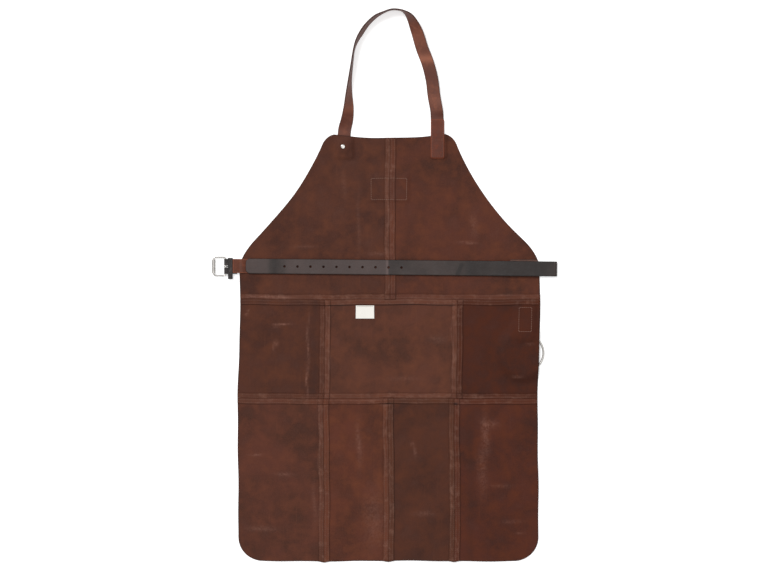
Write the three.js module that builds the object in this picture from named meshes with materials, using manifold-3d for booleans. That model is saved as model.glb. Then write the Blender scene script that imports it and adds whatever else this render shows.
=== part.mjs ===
// A patchwork leather work apron with a neck loop, a waist belt and a towel ring.
// It lies flat, lining side up. Millimetres, +Z up, +X to the apron's buckle-free side, +Y to the neck.
// The origin is on the face it lies on, in the middle of the waist panel.
import * as THREE from 'three';
import { mergeVertices } from 'three/addons/utils/BufferGeometryUtils.js';
import Module from 'manifold-3d';

const wasm = await Module();
wasm.setup();

// ---- Driving dimensions ----
const GAP = 0.3; // between pieces that touch
const LEATHER = 1.8; // panels and tabs
const STRAP = 2.4; // belt and neck strap
const ALLOWANCE = 10.5; // seam allowance, folded back on the lining side
const FOLD_STEP = 0.8; // run of the edge of a folded allowance

const HALF_WIDTH = 300; // skirt and waist
const WAIST_HALF_HEIGHT = 99; // the waist row runs this far above and below the origin
const HEM_Y = -424;
const HEM_RADIUS = 48;
const NECKLINE_Y = 430; // at the bib's top corners
const NECKLINE_DIP = 8.4;
const NECKLINE_DIP_HALF = 115;
const BIB_TOP_HALF = 133;
const BIB_CORNER_RADIUS = 20;
const BIB_FLARE = 0.382; // the bib's side is a parabola: a straight flare and a curved one
const BIB_FLARE_CURVE = 0.001575;
const BIB_SIDE_TOP = 414;
const WAIST_CORNER_BLEND = 34;

const BIB_SEAM_X = 2;
const WAIST_SEAMS_X = [-129, 136];
const SKIRT_SEAMS_X = [-130, -1, 131];

const PATCH = { x: 0.5, y: 321, width: 73, height: 46, thickness: 1.6 };
const STRAP_WIDTH = 26;
const STRAP_END_Y = 386;
const STRAP_LEFT_X = -90;
const STRAP_RIGHT_X = 97;
const NECK_HINGE_Y = 431;
const NECK_TAB = { halfWidth: 13.5, low: 381, high: 459, spring: 1.6 }; // it stands this far off the strap
const STUD = {
  x: -92, y: 404.6, capRadius: 5, cap: 1.5, barrelRadius: 2.2, headRadius: 4.3, head: 1.4,
  slotHalf: 0.4, slotDepth: 0.5,
};

const LABEL = { left: -66.5, right: -29.5, top: 87, bottom: 61, thickness: 0.5 };

const RING = { x: 270.6, radius: 38, wire: 2, pivotY: 29.8, pivotZ: 4, topY: 30.2 };
const RING_LOOP = {
  leather: 1.4, bore: 2.6, top: 84, sewnBottom: 44, halfWidth: 13.5, neckHalf: 8, neckY: 38,
};

const BELT_WIDTH = 30;
const BELT_SLOPE = -0.0096; // radians about +Z
const BELT_FOLD = { x: 332, y: 160, z: 5.25, inner: 1.65 };
const BELT_TIP_X = -283;
const BELT_HOLES = { first: -209, pitch: 26, count: 10, radius: 2.5 };
const BELT_LOW_Z = 4.2; // underside where it bridges the tabs and the centre seam
const BELT_HIGH_Z = 6.9; // underside where it lies on its own folded end
const BELT_RAMP = { top: -87, foot: -132 }; // from the fold's centre, as are the next two
const BELT_START = [[-4.1, 1.65], [-3.6, 2.5], [-2.9, 3.3], [-1.7, 4.05]]; // hollow, to clear the turning fold
const BELT_END = { inner: -70, rise: -32, foot: -14 };
const ANCHOR_TAB = { left: 242, right: 298, halfHeight: 17, y: 162 };

const BUCKLE = { y: 165.1, barX: -326.6, rollerX: -350.5, z: 4, wire: 1.5, halfHeight: 18.3, corner: 4 };
const ROLLER = { outer: 3.5, inner: 1.7, length: 28 };
const PRONG = { inner: 1.7, wire: 1.1, halfWidth: 1.2, length: 28 };
const CHAPE = {
  halfWidth: 15, leather: 1.3, bore: 1.72, flatStart: -322, flatEnd: -312, flatZ: 4.15,
  end: -303.5, endZ: 2.75, slotHalf: 2.3, slotEnd: -317.8,
};
const KEEPER = { left: -321.8, right: -312.3, low: 139.7, high: 182.3, bottom: 2.65, top: 8.25, wall: 1.2 };
const BUCKLE_TAB = {
  inner: -252, edge: -298.8, freeStart: -300.4, startZ: 5.14, outer: -312, outerZ: 7.05,
  halfHeight: 14, y: 166,
};
const TOOL_LOW = -5; // cutting tools reach from here
const TOOL_HIGH = 20; // to here, right through every piece

// ---- Materials ----
function finish(colour, roughness, metalness = 0) {
  return new THREE.MeshStandardMaterial({ color: colour, roughness, metalness });
}
const brownLeather = finish('#58372c', 0.75);
const darkLeather = finish('#4b2c23', 0.75);
const strapLeather = finish('#694337', 0.7);
const beltLeather = finish('#48403e', 0.65);
const blackLeather = finish('#3c3433', 0.6);
const nickel = finish('#c8c6c2', 0.25, 1);
const labelCloth = finish('#e9e7e2', 0.9);

// ---- Solids ----
function toSolid(geometry) {
  const bare = geometry.clone();
  bare.deleteAttribute('normal');
  bare.deleteAttribute('uv');
  const merged = mergeVertices(bare, 1e-4);
  const vertProperties = new Float32Array(merged.attributes.position.array);
  const triVerts = new Uint32Array(merged.index.array);
  return new wasm.Manifold(new wasm.Mesh({ numProp: 3, vertProperties, triVerts }));
}

function toGeometry(solid) {
  const mesh = solid.getMesh();
  const geometry = new THREE.BufferGeometry();
  geometry.setAttribute('position', new THREE.BufferAttribute(new Float32Array(mesh.vertProperties), 3));
  geometry.setIndex(new THREE.BufferAttribute(new Uint32Array(mesh.triVerts), 1));
  geometry.computeVertexNormals();
  return geometry;
}

function cut(geometry, ...tools) {
  return toGeometry(tools.reduce((solid, tool) => solid.subtract(toSolid(tool)), toSolid(geometry)));
}

function common(first, second) {
  return toGeometry(toSolid(first).intersect(toSolid(second)));
}

function join(first, second) {
  return toGeometry(toSolid(first).add(toSolid(second)));
}

function polygon(points) {
  return new THREE.Shape(points.map(([a, b]) => new THREE.Vector2(a, b)));
}

// A flat outline in X and Y, from one height to another.
function plate(shape, bottom, top) {
  return new THREE.ExtrudeGeometry(shape, { depth: top - bottom, bevelEnabled: false, curveSegments: 8 })
    .translate(0, 0, bottom);
}

// A profile in X and Z, carried along Y and centred on y.
function carriedAlongY(shape, width, y) {
  const turn = new THREE.Matrix4().makeBasis(
    new THREE.Vector3(1, 0, 0), new THREE.Vector3(0, 0, 1), new THREE.Vector3(0, -1, 0));
  return new THREE.ExtrudeGeometry(shape, { depth: width, bevelEnabled: false, curveSegments: 10 })
    .applyMatrix4(turn).translate(0, y + width / 2, 0);
}

// A profile in Y and Z, carried along X from one x to another.
function carriedAlongX(shape, from, to) {
  const turn = new THREE.Matrix4().makeBasis(
    new THREE.Vector3(0, 1, 0), new THREE.Vector3(0, 0, 1), new THREE.Vector3(1, 0, 0));
  return new THREE.ExtrudeGeometry(shape, { depth: to - from, bevelEnabled: false, curveSegments: 10 })
    .applyMatrix4(turn).translate(from, 0, 0);
}

function rod(radius, length, sides = 16) {
  return new THREE.CylinderGeometry(radius, radius, length, sides);
}

function uprightRod(radius, x, y, bottom, top, sides = 16) {
  return rod(radius, top - bottom, sides).rotateX(Math.PI / 2).translate(x, y, (bottom + top) / 2);
}

function box(x0, x1, y0, y1, z0, z1) {
  return new THREE.BoxGeometry(x1 - x0, y1 - y0, z1 - z0)
    .translate((x0 + x1) / 2, (y0 + y1) / 2, (z0 + z1) / 2);
}

// A closed strip of quads joins rings of corners: each ring has the same number of corners, in order.
function closedSkin(rings, closedOnItself) {
  const size = rings[0].length;
  const index = [];
  const spans = closedOnItself ? rings.length : rings.length - 1;
  for (let i = 0; i < spans; i += 1) {
    const here = i * size;
    const next = ((i + 1) % rings.length) * size;
    for (let j = 0; j < size; j += 1) {
      const k = (j + 1) % size;
      index.push(here + j, next + j, next + k, here + j, next + k, here + k);
    }
  }
  if (!closedOnItself) {
    const last = (rings.length - 1) * size;
    for (let j = 1; j < size - 1; j += 1) {
      index.push(0, j, j + 1, last, last + j + 1, last + j);
    }
  }
  const geometry = new THREE.BufferGeometry();
  geometry.setAttribute('position', new THREE.Float32BufferAttribute(rings.flat(2), 3));
  geometry.setIndex(index);
  geometry.computeVertexNormals();
  return geometry;
}

// A sheet between two heights over a grid: place gives each grid point's x and y.
function sheet(columns, rows, place, bottom, top) {
  const across = columns.length;
  const layer = across * rows.length;
  const low = [];
  const high = [];
  for (const row of rows) {
    for (const column of columns) {
      const [x, y] = place(column, row);
      low.push(x, y, bottom(x, y));
      high.push(x, y, top(x, y, column, row));
    }
  }
  const index = [];
  for (let i = 0; i < rows.length - 1; i += 1) {
    for (let j = 0; j < across - 1; j += 1) {
      const a = i * across + j;
      const b = a + 1;
      const c = a + across;
      const d = c + 1;
      index.push(a, c, b, b, c, d, layer + a, layer + b, layer + c, layer + b, layer + d, layer + c);
    }
  }
  const rim = [];
  for (let j = 0; j < across - 1; j += 1) rim.push(j);
  for (let i = 0; i < rows.length - 1; i += 1) rim.push(i * across + across - 1);
  for (let j = across - 1; j > 0; j -= 1) rim.push((rows.length - 1) * across + j);
  for (let i = rows.length - 1; i > 0; i -= 1) rim.push(i * across);
  rim.forEach((a, i) => {
    const b = rim[(i + 1) % rim.length];
    index.push(a, b, layer + b, a, layer + b, layer + a);
  });
  const geometry = new THREE.BufferGeometry();
  geometry.setAttribute('position', new THREE.Float32BufferAttribute([...low, ...high], 3));
  geometry.setIndex(index);
  geometry.computeVertexNormals();
  return geometry;
}

// ---- How the leather lies ----
const clamp = THREE.MathUtils.clamp;

// Full height up to margin from a shape's edge, then a smooth fall to nothing over run.
function bump(distance, margin, run, height) {
  const s = clamp(1 - (distance - margin) / run, 0, 1);
  return height * s * s * (3 - 2 * s);
}

function distanceFromRectangle(x, y, x0, x1, y0, y1) {
  return Math.hypot(Math.max(x0 - x, 0, x - x1), Math.max(y0 - y, 0, y - y1));
}

// The strap's end rides over the stud's cap; the panel above it rises a little earlier.
function studLift(x, y, spare = 0) {
  return bump(Math.hypot(x - STUD.x, y - STUD.y), 7 + spare, 9 + spare, STUD.cap + GAP);
}

// Height of the panels' underside over the table: they ride over the pieces sewn to the front.
function panelLift(x, y) {
  const half = STRAP_WIDTH / 2;
  const loop = RING_LOOP;
  const bumps = [
    bump(distanceFromRectangle(x, y, PATCH.x - PATCH.width / 2, PATCH.x + PATCH.width / 2,
      PATCH.y - PATCH.height / 2, PATCH.y + PATCH.height / 2), 10, 16, PATCH.thickness + GAP),
    bump(distanceFromRectangle(x, y, STRAP_LEFT_X - half, STRAP_LEFT_X + half, STRAP_END_Y, 440),
      10, 16, STRAP + GAP),
    bump(distanceFromRectangle(x, y, STRAP_RIGHT_X - half, STRAP_RIGHT_X + half, STRAP_END_Y, 440),
      10, 16, STRAP + GAP),
    bump(distanceFromRectangle(x, y, RING.x - loop.halfWidth, RING.x + loop.halfWidth, loop.neckY, loop.top),
      10, 16, 2 * loop.leather + GAP),
    bump(distanceFromRectangle(x, y, RING.x - loop.neckHalf, RING.x + loop.neckHalf, 26, 40), 10, 22, 8.3),
    bump(Math.hypot(x - RING.x, y + 7.8) - RING.radius, 7, 24, 6.2),
    bump(Math.hypot(x + 299, y - BUCKLE.y), 4, 12, 2.65),
  ];
  return Math.sqrt(Math.sqrt(bumps.reduce((sum, b) => sum + b ** 4, 0))) + studLift(x, y, 9);
}

// ---- Panels ----
function bibHalfWidth(y) {
  const drop = Math.max(BIB_SIDE_TOP - y, -16);
  const parabola = BIB_TOP_HALF + BIB_FLARE * drop + BIB_FLARE_CURVE * drop * drop;
  const overlap = Math.max(WAIST_CORNER_BLEND - Math.abs(parabola - HALF_WIDTH), 0) / WAIST_CORNER_BLEND;
  const side = Math.min(parabola, HALF_WIDTH) - overlap * overlap * WAIST_CORNER_BLEND / 4;
  return side - cornerInset(NECKLINE_Y - y, BIB_CORNER_RADIUS);
}

// How far a round corner pulls the side in, at a distance from the panel's end.
function cornerInset(distance, radius) {
  const reach = clamp(radius - distance, 0, radius);
  return radius - Math.sqrt(radius * radius - reach * reach);
}

// Distances that close in on an end, so that a round corner there gets even steps.
function cornerSteps(radius, count) {
  return Array.from({ length: count + 1 }, (_, i) => radius * (1 - Math.cos((i / count) * Math.PI / 2)));
}

function spread(from, to, count) {
  return Array.from({ length: count + 1 }, (_, i) => from + (to - from) * i / count);
}

// Grid lines that step over a folded allowance at a seam edge; side is +1 where the panel lies above it.
function seamLines(seam, side) {
  const lines = [GAP / 2, ALLOWANCE, ALLOWANCE + FOLD_STEP].map((d) => seam + side * d);
  return side > 0 ? lines : lines.reverse();
}

function inAllowance(value, seams) {
  return seams.some((seam) => Math.abs(value - seam) < ALLOWANCE + 0.01);
}

function namedMesh(name, geometry, material) {
  const mesh = new THREE.Mesh(geometry, material);
  mesh.name = name;
  return mesh;
}

function panel(name, columns, rows, place, seamsX, seamsY, material = brownLeather) {
  const top = (x, y, column, row) => {
    const folded = inAllowance(column, seamsX) || inAllowance(row, seamsY);
    return panelLift(x, y) + LEATHER * (folded ? 2 : 1);
  };
  return namedMesh(name, sheet(columns, rows, place, panelLift, top), material);
}

// Bib columns near the middle keep their x; the outer ones spread out to the side of the bib.
const BIB_INNER_LIMIT = 112;
function placeOnBib(column, row) {
  const side = Math.sign(column);
  const reach = Math.abs(column);
  const outer = (reach - BIB_INNER_LIMIT) / (HALF_WIDTH - BIB_INNER_LIMIT);
  const half = bibHalfWidth(row);
  const x = reach <= BIB_INNER_LIMIT ? column : side * (BIB_INNER_LIMIT + outer * (half - BIB_INNER_LIMIT));
  const dip = NECKLINE_DIP * Math.max(1 - (x / NECKLINE_DIP_HALF) ** 2, 0);
  const rise = clamp((row - WAIST_HALF_HEIGHT) / (NECKLINE_Y - WAIST_HALF_HEIGHT), 0, 1);
  return [x, row - dip * rise ** 4];
}

function studHole() {
  return uprightRod(STUD.barrelRadius + GAP, STUD.x, STUD.y, TOOL_LOW, TOOL_HIGH);
}

function bibPanels() {
  const inner = spread(25, 110, 7);
  const outer = [140, 190, 240, 270, 282, 288, 294, HALF_WIDTH];
  const rows = [
    ...seamLines(WAIST_HALF_HEIGHT, 1), 130, 148, ...spread(155, 175, 4), ...spread(183, 280, 6),
    ...spread(293, 350, 5), ...spread(363, 408, 4),
    ...cornerSteps(BIB_CORNER_RADIUS - 1, 4).map((d) => NECKLINE_Y - d).reverse(),
  ];
  const right = [...seamLines(BIB_SEAM_X, 1), ...inner, ...outer];
  const mirrored = [...inner, ...outer].map((x) => -x).reverse();
  const left = [...mirrored, ...seamLines(BIB_SEAM_X, -1)];
  const seams = [[BIB_SEAM_X], [WAIST_HALF_HEIGHT]];
  const leftPanel = panel('bib_panel_left', left, rows, placeOnBib, ...seams);
  leftPanel.geometry = cut(leftPanel.geometry, studHole());
  return [leftPanel, panel('bib_panel_right', right, rows, placeOnBib, ...seams)];
}

function placeFlat(column, row) {
  return [column, row];
}

function waistPanels() {
  const [leftSeam, rightSeam] = WAIST_SEAMS_X;
  const rows = [...seamLines(-WAIST_HALF_HEIGHT, 1), 0, ...seamLines(WAIST_HALF_HEIGHT, -1)];
  const fineRows = [
    ...seamLines(-WAIST_HALF_HEIGHT, 1), ...spread(-72, 84, 16), ...seamLines(WAIST_HALF_HEIGHT, -1),
  ];
  const seamsY = [-WAIST_HALF_HEIGHT, WAIST_HALF_HEIGHT];
  const left = [-HALF_WIDTH, ...seamLines(leftSeam, -1)];
  const centre = [...seamLines(leftSeam, 1), ...seamLines(rightSeam, -1)];
  const right = [...seamLines(rightSeam, 1), 172, ...spread(196, HALF_WIDTH, 11)];
  return [
    panel('waist_panel_left', left, rows, placeFlat, [leftSeam], seamsY),
    panel('waist_panel_centre', centre, rows, placeFlat, WAIST_SEAMS_X, seamsY),
    panel('waist_panel_right', right, fineRows, placeFlat, [rightSeam], seamsY, darkLeather),
  ];
}

// The outer skirt panels narrow round the hem's corners.
function placeOnSkirt(column, row) {
  const side = HALF_WIDTH - cornerInset(row - HEM_Y, HEM_RADIUS);
  return [clamp(column, -side, side), row];
}

function skirtPanels() {
  const seams = SKIRT_SEAMS_X;
  const corner = cornerSteps(HEM_RADIUS, 6).map((d) => HEM_Y + d);
  const rows = [...corner, ...seamLines(-WAIST_HALF_HEIGHT, -1)];
  const plainRows = [HEM_Y, ...seamLines(-WAIST_HALF_HEIGHT, -1)];
  const seamsY = [-WAIST_HALF_HEIGHT];
  const between = (a, b) => [...seamLines(a, 1), ...seamLines(b, -1)];
  return [
    panel('skirt_panel_outer_left', [-HALF_WIDTH, ...seamLines(seams[0], -1)], rows, placeOnSkirt,
      [seams[0]], seamsY),
    panel('skirt_panel_inner_left', between(seams[0], seams[1]), plainRows, placeFlat, seams, seamsY),
    panel('skirt_panel_inner_right', between(seams[1], seams[2]), plainRows, placeFlat, seams, seamsY),
    panel('skirt_panel_outer_right', [...seamLines(seams[2], 1), HALF_WIDTH], rows, placeOnSkirt,
      [seams[2]], seamsY, darkLeather),
  ];
}

// ---- Pieces sewn to the front, under the bib and the waist ----
function badgePatch() {
  const { x, y, width, height, thickness } = PATCH;
  const shape = box(x - width / 2, x + width / 2, y - height / 2, y + height / 2, 0, thickness);
  return namedMesh('badge_patch', shape, brownLeather);
}

function strapEnd(name, x, bottom, grid) {
  const half = STRAP_WIDTH / 2;
  const columns = spread(x - half, x + half, grid);
  const rows = spread(STRAP_END_Y, NECK_HINGE_Y - 0.5, 2 * grid);
  const top = (a, b) => bottom(a, b) + STRAP;
  return namedMesh(name, sheet(columns, rows, placeFlat, bottom, top), strapLeather);
}

function strapEnds() {
  const left = strapEnd('neck_strap_end_left', STRAP_LEFT_X, (x, y) => studLift(x, y), 6);
  left.geometry = cut(left.geometry, studHole());
  return [left, strapEnd('neck_strap_end_right', STRAP_RIGHT_X, () => 0, 1)];
}

// A two-part post: a cap with a barrel on the front, a screw with a flat head on the lining side.
function stud() {
  const barrelTop = STUD.cap + GAP + STRAP + GAP + LEATHER;
  const cap = plate(new THREE.Shape().absarc(0, 0, STUD.capRadius, 0, 2 * Math.PI), 0, STUD.cap)
    .translate(STUD.x, STUD.y, 0);
  const barrel = uprightRod(STUD.barrelRadius, STUD.x, STUD.y, STUD.cap - 0.5, barrelTop);
  const headBottom = panelLift(STUD.x, STUD.y) + LEATHER + GAP;
  const head = uprightRod(STUD.headRadius, STUD.x, STUD.y, headBottom, headBottom + STUD.head, 24);
  const slotFloor = headBottom + STUD.head - STUD.slotDepth;
  const { x, y, slotHalf, headRadius } = STUD;
  const slot = box(x - slotHalf, x + slotHalf, y - headRadius, y + headRadius, slotFloor, TOOL_HIGH);
  return [
    namedMesh('stud_cap', join(cap, barrel), nickel),
    namedMesh('stud_screw', cut(head, slot), nickel),
  ];
}

// A strip folded round the ring: a bore for the wire, then two layers sewn together.
function ringLoop() {
  const { leather, bore, top, sewnBottom, halfWidth, neckHalf, neckY } = RING_LOOP;
  const outer = bore + leather;
  const profile = new THREE.Shape();
  profile.moveTo(top, 0);
  profile.lineTo(top, 2 * leather);
  profile.lineTo(sewnBottom, 2 * leather);
  profile.lineTo(RING.pivotY, RING.pivotZ + outer);
  profile.absarc(RING.pivotY, RING.pivotZ, outer, Math.PI / 2, 1.5 * Math.PI, false);
  profile.closePath();
  profile.holes.push(new THREE.Path().absarc(RING.pivotY, RING.pivotZ, bore, 0, 2 * Math.PI));
  const strip = carriedAlongX(profile, RING.x - halfWidth, RING.x + halfWidth);
  const outline = polygon([
    [-neckHalf, 0], [neckHalf, 0], [neckHalf, neckY], [halfWidth, sewnBottom], [halfWidth, top + 1],
    [-halfWidth, top + 1], [-halfWidth, sewnBottom], [-neckHalf, neckY],
  ]);
  const body = common(strip, plate(outline, TOOL_LOW, TOOL_HIGH).translate(RING.x, 0, 0));
  return namedMesh('ring_loop', body, strapLeather);
}

function towelRing() {
  const tilt = (RING.pivotZ - RING.wire) / (2 * RING.radius);
  const geometry = new THREE.TorusGeometry(RING.radius, RING.wire, 8, 40);
  const ring = namedMesh('towel_ring', geometry, nickel);
  ring.rotation.x = tilt;
  ring.position.set(RING.x, RING.topY - RING.radius, (RING.pivotZ + RING.wire) / 2 + 0.02);
  return ring;
}

// ---- Neck strap: a flat strap that turns on edge at the back of the neck ----
// Middle of the strap, and how far its lining face leans in from facing up, in degrees.
const STRAP_ROUTE = [
  [97, 436, 0], [96.3, 462, 0], [95, 478, 12], [90, 506, 10], [86, 538, 12], [78, 570, 14], [66, 602, 16],
  [56, 634, 26], [43, 662, 58], [30, 674, 84], [18, 678, 90], [4, 678, 90], [-10, 673, 88],
  [-27, 664, 78], [-43, 649, 72],
  [-55, 632, 70], [-64, 616, 76], [-70, 598, 82], [-74, 570, 78], [-78, 538, 72], [-80, 510, 58],
  [-81, 480, 34], [-84, 458, 20], [-90, 437, 0],
];

function neckStrap() {
  const route = STRAP_ROUTE.map(([x, y, lean]) => new THREE.Vector3(x, y, THREE.MathUtils.degToRad(lean)));
  const up = new THREE.Vector3(0, 0, 1);
  const rings = route.map((point, i) => {
    const from = route[Math.max(i - 1, 0)];
    const to = route[Math.min(i + 1, route.length - 1)];
    const along = new THREE.Vector3(to.x - from.x, to.y - from.y, 0).normalize();
    const lean = point.z;
    const inward = new THREE.Vector3().crossVectors(up, along);
    const face = up.clone().multiplyScalar(Math.cos(lean)).addScaledVector(inward, Math.sin(lean));
    const across = new THREE.Vector3().crossVectors(along, face);
    const height = STRAP_WIDTH / 2 * Math.sin(lean) + STRAP / 2 * Math.cos(lean);
    const middle = new THREE.Vector3(point.x, point.y, height);
    return [[1, -1], [1, 1], [-1, 1], [-1, -1]].map(([a, b]) => middle.clone()
      .addScaledVector(across, a * STRAP_WIDTH / 2).addScaledVector(face, b * STRAP / 2).toArray());
  });
  return namedMesh('neck_strap', closedSkin(rings, false), strapLeather);
}

function neckTab() {
  const { halfWidth, low, high } = NECK_TAB;
  const columns = spread(STRAP_RIGHT_X - halfWidth, STRAP_RIGHT_X + halfWidth, 2);
  const lift = () => panelLift(STRAP_RIGHT_X, STRAP_END_Y + 10) + LEATHER + GAP;
  const sewn = sheet(columns, [low, NECK_HINGE_Y - 0.5], placeFlat, lift, () => lift() + LEATHER);
  const upperBottom = STRAP + GAP + NECK_TAB.spring;
  return [
    namedMesh('neck_tab_on_bib', sewn, strapLeather),
    namedMesh('neck_tab_on_strap', box(STRAP_RIGHT_X - halfWidth, STRAP_RIGHT_X + halfWidth, NECK_HINGE_Y + 5,
      high, upperBottom, upperBottom + LEATHER), strapLeather),
  ];
}

function careLabel() {
  const { left, right, top, bottom, thickness } = LABEL;
  const base = LEATHER + GAP;
  return namedMesh('care_label', box(left, right, bottom, top, base, base + thickness), labelCloth);
}

// ---- Belt ----
// Profiles are drawn from the fold's centre line: x back along the belt is negative, z is above the table.
function beltStrap() {
  const reach = BELT_TIP_X - BELT_FOLD.x;
  const start = BELT_START.map(([x, z]) => [x, BELT_FOLD.z + z]).reverse();
  const under = [[BELT_RAMP.top, BELT_HIGH_Z], [BELT_RAMP.foot, BELT_LOW_Z], [reach, BELT_LOW_Z]];
  const over = under.map(([x, z]) => [x, z + STRAP]).reverse();
  const run = carriedAlongY(polygon([...over, ...start, ...under]), BELT_WIDTH, 0);
  const half = BELT_WIDTH / 2;
  const outline = polygon([
    [5, -half], [5, half], [reach + 9, half], [reach + 2, half - 4], [reach, half - 8], [reach, 8 - half],
    [reach + 2, 4 - half], [reach + 9, -half],
  ]);
  const shaped = common(run, plate(outline, TOOL_LOW, TOOL_HIGH));
  const holes = Array.from({ length: BELT_HOLES.count }, (_, i) => uprightRod(BELT_HOLES.radius,
    BELT_HOLES.first + i * BELT_HOLES.pitch - BELT_FOLD.x, 0, TOOL_LOW, TOOL_HIGH, 12));
  return namedMesh('belt_strap', cut(shaped, ...holes), beltLeather);
}

function beltAnchorEnd() {
  const { z, inner } = BELT_FOLD;
  const outer = inner + STRAP;
  const profile = new THREE.Shape();
  profile.moveTo(BELT_END.inner, BELT_LOW_Z);
  profile.lineTo(BELT_END.rise, BELT_LOW_Z);
  profile.lineTo(BELT_END.foot, z - outer);
  profile.lineTo(0, z - outer);
  profile.absarc(0, z, outer, -Math.PI / 2, Math.PI / 2, false);
  profile.lineTo(0, z + inner);
  profile.absarc(0, z, inner, Math.PI / 2, -Math.PI / 2, true);
  profile.lineTo(BELT_END.foot, z - inner);
  profile.lineTo(BELT_END.rise, BELT_LOW_Z + STRAP);
  profile.lineTo(BELT_END.inner, BELT_LOW_Z + STRAP);
  return namedMesh('belt_anchor_end', carriedAlongY(profile, BELT_WIDTH, 0), beltLeather);
}

function belt() {
  const group = new THREE.Group();
  group.add(beltStrap(), beltAnchorEnd());
  group.position.set(BELT_FOLD.x, BELT_FOLD.y, 0);
  group.rotation.z = BELT_SLOPE;
  return group;
}

function beltAnchorTab() {
  const { left, right, halfHeight, y } = ANCHOR_TAB;
  const base = LEATHER + GAP;
  return namedMesh('belt_anchor_tab', box(left, right, y - halfHeight, y + halfHeight, base, base + LEATHER),
    strapLeather);
}

// ---- Buckle end ----
function buckleTab() {
  const { inner, edge, freeStart, startZ, outer, outerZ, halfHeight, y } = BUCKLE_TAB;
  const columns = [edge, -294, -288, -282, -270, inner];
  const base = (x) => panelLift(x, BUCKLE.y) + LEATHER + GAP;
  const sewn = sheet(columns, [y - halfHeight, y + halfHeight], placeFlat, base, (x) => base(x) + LEATHER);
  const profile = polygon([
    [outer, outerZ], [freeStart, startZ], [freeStart, startZ + LEATHER], [outer, outerZ + LEATHER],
  ]);
  return [
    namedMesh('buckle_tab_sewn', sewn, strapLeather),
    namedMesh('buckle_tab_free', carriedAlongY(profile, 2 * halfHeight, y), strapLeather),
  ];
}

// Black strap folded round the buckle's bar, with a slot for the prong.
function buckleChape() {
  const { halfWidth, leather, bore, flatStart, flatEnd, flatZ, end, endZ, slotHalf, slotEnd } = CHAPE;
  const nose = bore + leather;
  const top = BUCKLE.z + nose;
  const profile = new THREE.Shape();
  profile.moveTo(BUCKLE.barX, top);
  profile.absarc(BUCKLE.barX, BUCKLE.z, nose, Math.PI / 2, Math.PI * 5 / 3, false);
  profile.lineTo(flatStart, flatZ);
  profile.lineTo(flatEnd, flatZ);
  profile.lineTo(end, endZ);
  profile.lineTo(end, endZ + 2 * leather);
  profile.lineTo(flatEnd, flatZ + 2 * leather);
  profile.lineTo(flatStart, flatZ + 2 * leather);
  profile.holes.push(new THREE.Path().absarc(BUCKLE.barX, BUCKLE.z, bore, 0, 2 * Math.PI));
  const strap = carriedAlongY(profile, 2 * halfWidth, BUCKLE.y);
  const slot = box(BUCKLE.rollerX, slotEnd, BUCKLE.y - slotHalf, BUCKLE.y + slotHalf, TOOL_LOW, TOOL_HIGH);
  return namedMesh('buckle_chape', cut(strap, slot), blackLeather);
}

function beltKeeper() {
  const { left, right, low, high, bottom, top, wall } = KEEPER;
  const profile = polygon([[low, bottom], [high, bottom], [high, top], [low, top]]);
  profile.holes.push(polygon([
    [low + wall, bottom + wall], [high - wall, bottom + wall],
    [high - wall, top - wall], [low + wall, top - wall],
  ]));
  return namedMesh('belt_keeper', carriedAlongX(profile, left, right), blackLeather);
}

// Wire bent to a rounded rectangle round the bar and the roller.
function buckleFrame() {
  const { y, barX, rollerX, z, wire, halfHeight, corner } = BUCKLE;
  const middleX = (barX + rollerX) / 2;
  const reachX = (barX - rollerX) / 2;
  const corners = [[1, -1, -90], [1, 1, 0], [-1, 1, 90], [-1, -1, 180]];
  const rings = corners.flatMap(([signX, signY, start]) => [0, 30, 60, 90].map((turn) => {
    const angle = THREE.MathUtils.degToRad(start + turn);
    const out = [Math.cos(angle), Math.sin(angle)];
    const centreX = middleX + signX * (reachX - corner) + out[0] * corner;
    const centreY = y + signY * (halfHeight - corner) + out[1] * corner;
    return Array.from({ length: 8 }, (_, k) => {
      const phi = k * Math.PI / 4;
      const offset = wire * Math.cos(phi);
      return [centreX + out[0] * offset, centreY + out[1] * offset, z + wire * Math.sin(phi)];
    });
  }));
  return namedMesh('buckle_frame', closedSkin(rings, true), nickel);
}

function buckleRoller() {
  const ring = new THREE.Shape().absarc(0, 0, ROLLER.outer, 0, 2 * Math.PI);
  ring.holes.push(new THREE.Path().absarc(0, 0, ROLLER.inner, 0, 2 * Math.PI));
  ring.curveSegments = 12;
  const tube = carriedAlongY(ring, ROLLER.length, BUCKLE.y).translate(BUCKLE.rollerX, 0, BUCKLE.z);
  return namedMesh('buckle_roller', tube, nickel);
}

// The prong is turned back under the chape; its eye sits in the slot round the bar.
function buckleProng() {
  const { inner, wire, halfWidth, length } = PRONG;
  const eye = new THREE.Shape().absarc(0, 0, inner + 2 * wire, 0, 2 * Math.PI);
  eye.holes.push(new THREE.Path().absarc(0, 0, inner, 0, 2 * Math.PI));
  const eyeRing = carriedAlongY(eye, 2 * halfWidth, 0);
  const shaft = new THREE.CylinderGeometry(0.8, wire, length, 10).rotateZ(-Math.PI / 2)
    .translate(length / 2, 0, -inner - wire);
  const prong = namedMesh('buckle_prong', join(eyeRing, shaft), nickel);
  prong.position.set(BUCKLE.barX, BUCKLE.y, BUCKLE.z);
  return prong;
}

const apron = new THREE.Group();
apron.add(
  ...bibPanels(), ...waistPanels(), ...skirtPanels(), badgePatch(), ...strapEnds(), ...stud(), ringLoop(),
  towelRing(), neckStrap(), ...neckTab(), careLabel(), belt(), beltAnchorTab(), ...buckleTab(), buckleChape(),
  beltKeeper(), buckleFrame(), buckleRoller(), buckleProng(),
);

export default apron;
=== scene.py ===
"""A patchwork leather work apron, laid out flat with its lining side up: its looks, round the fixed frame."""
import math

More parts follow.
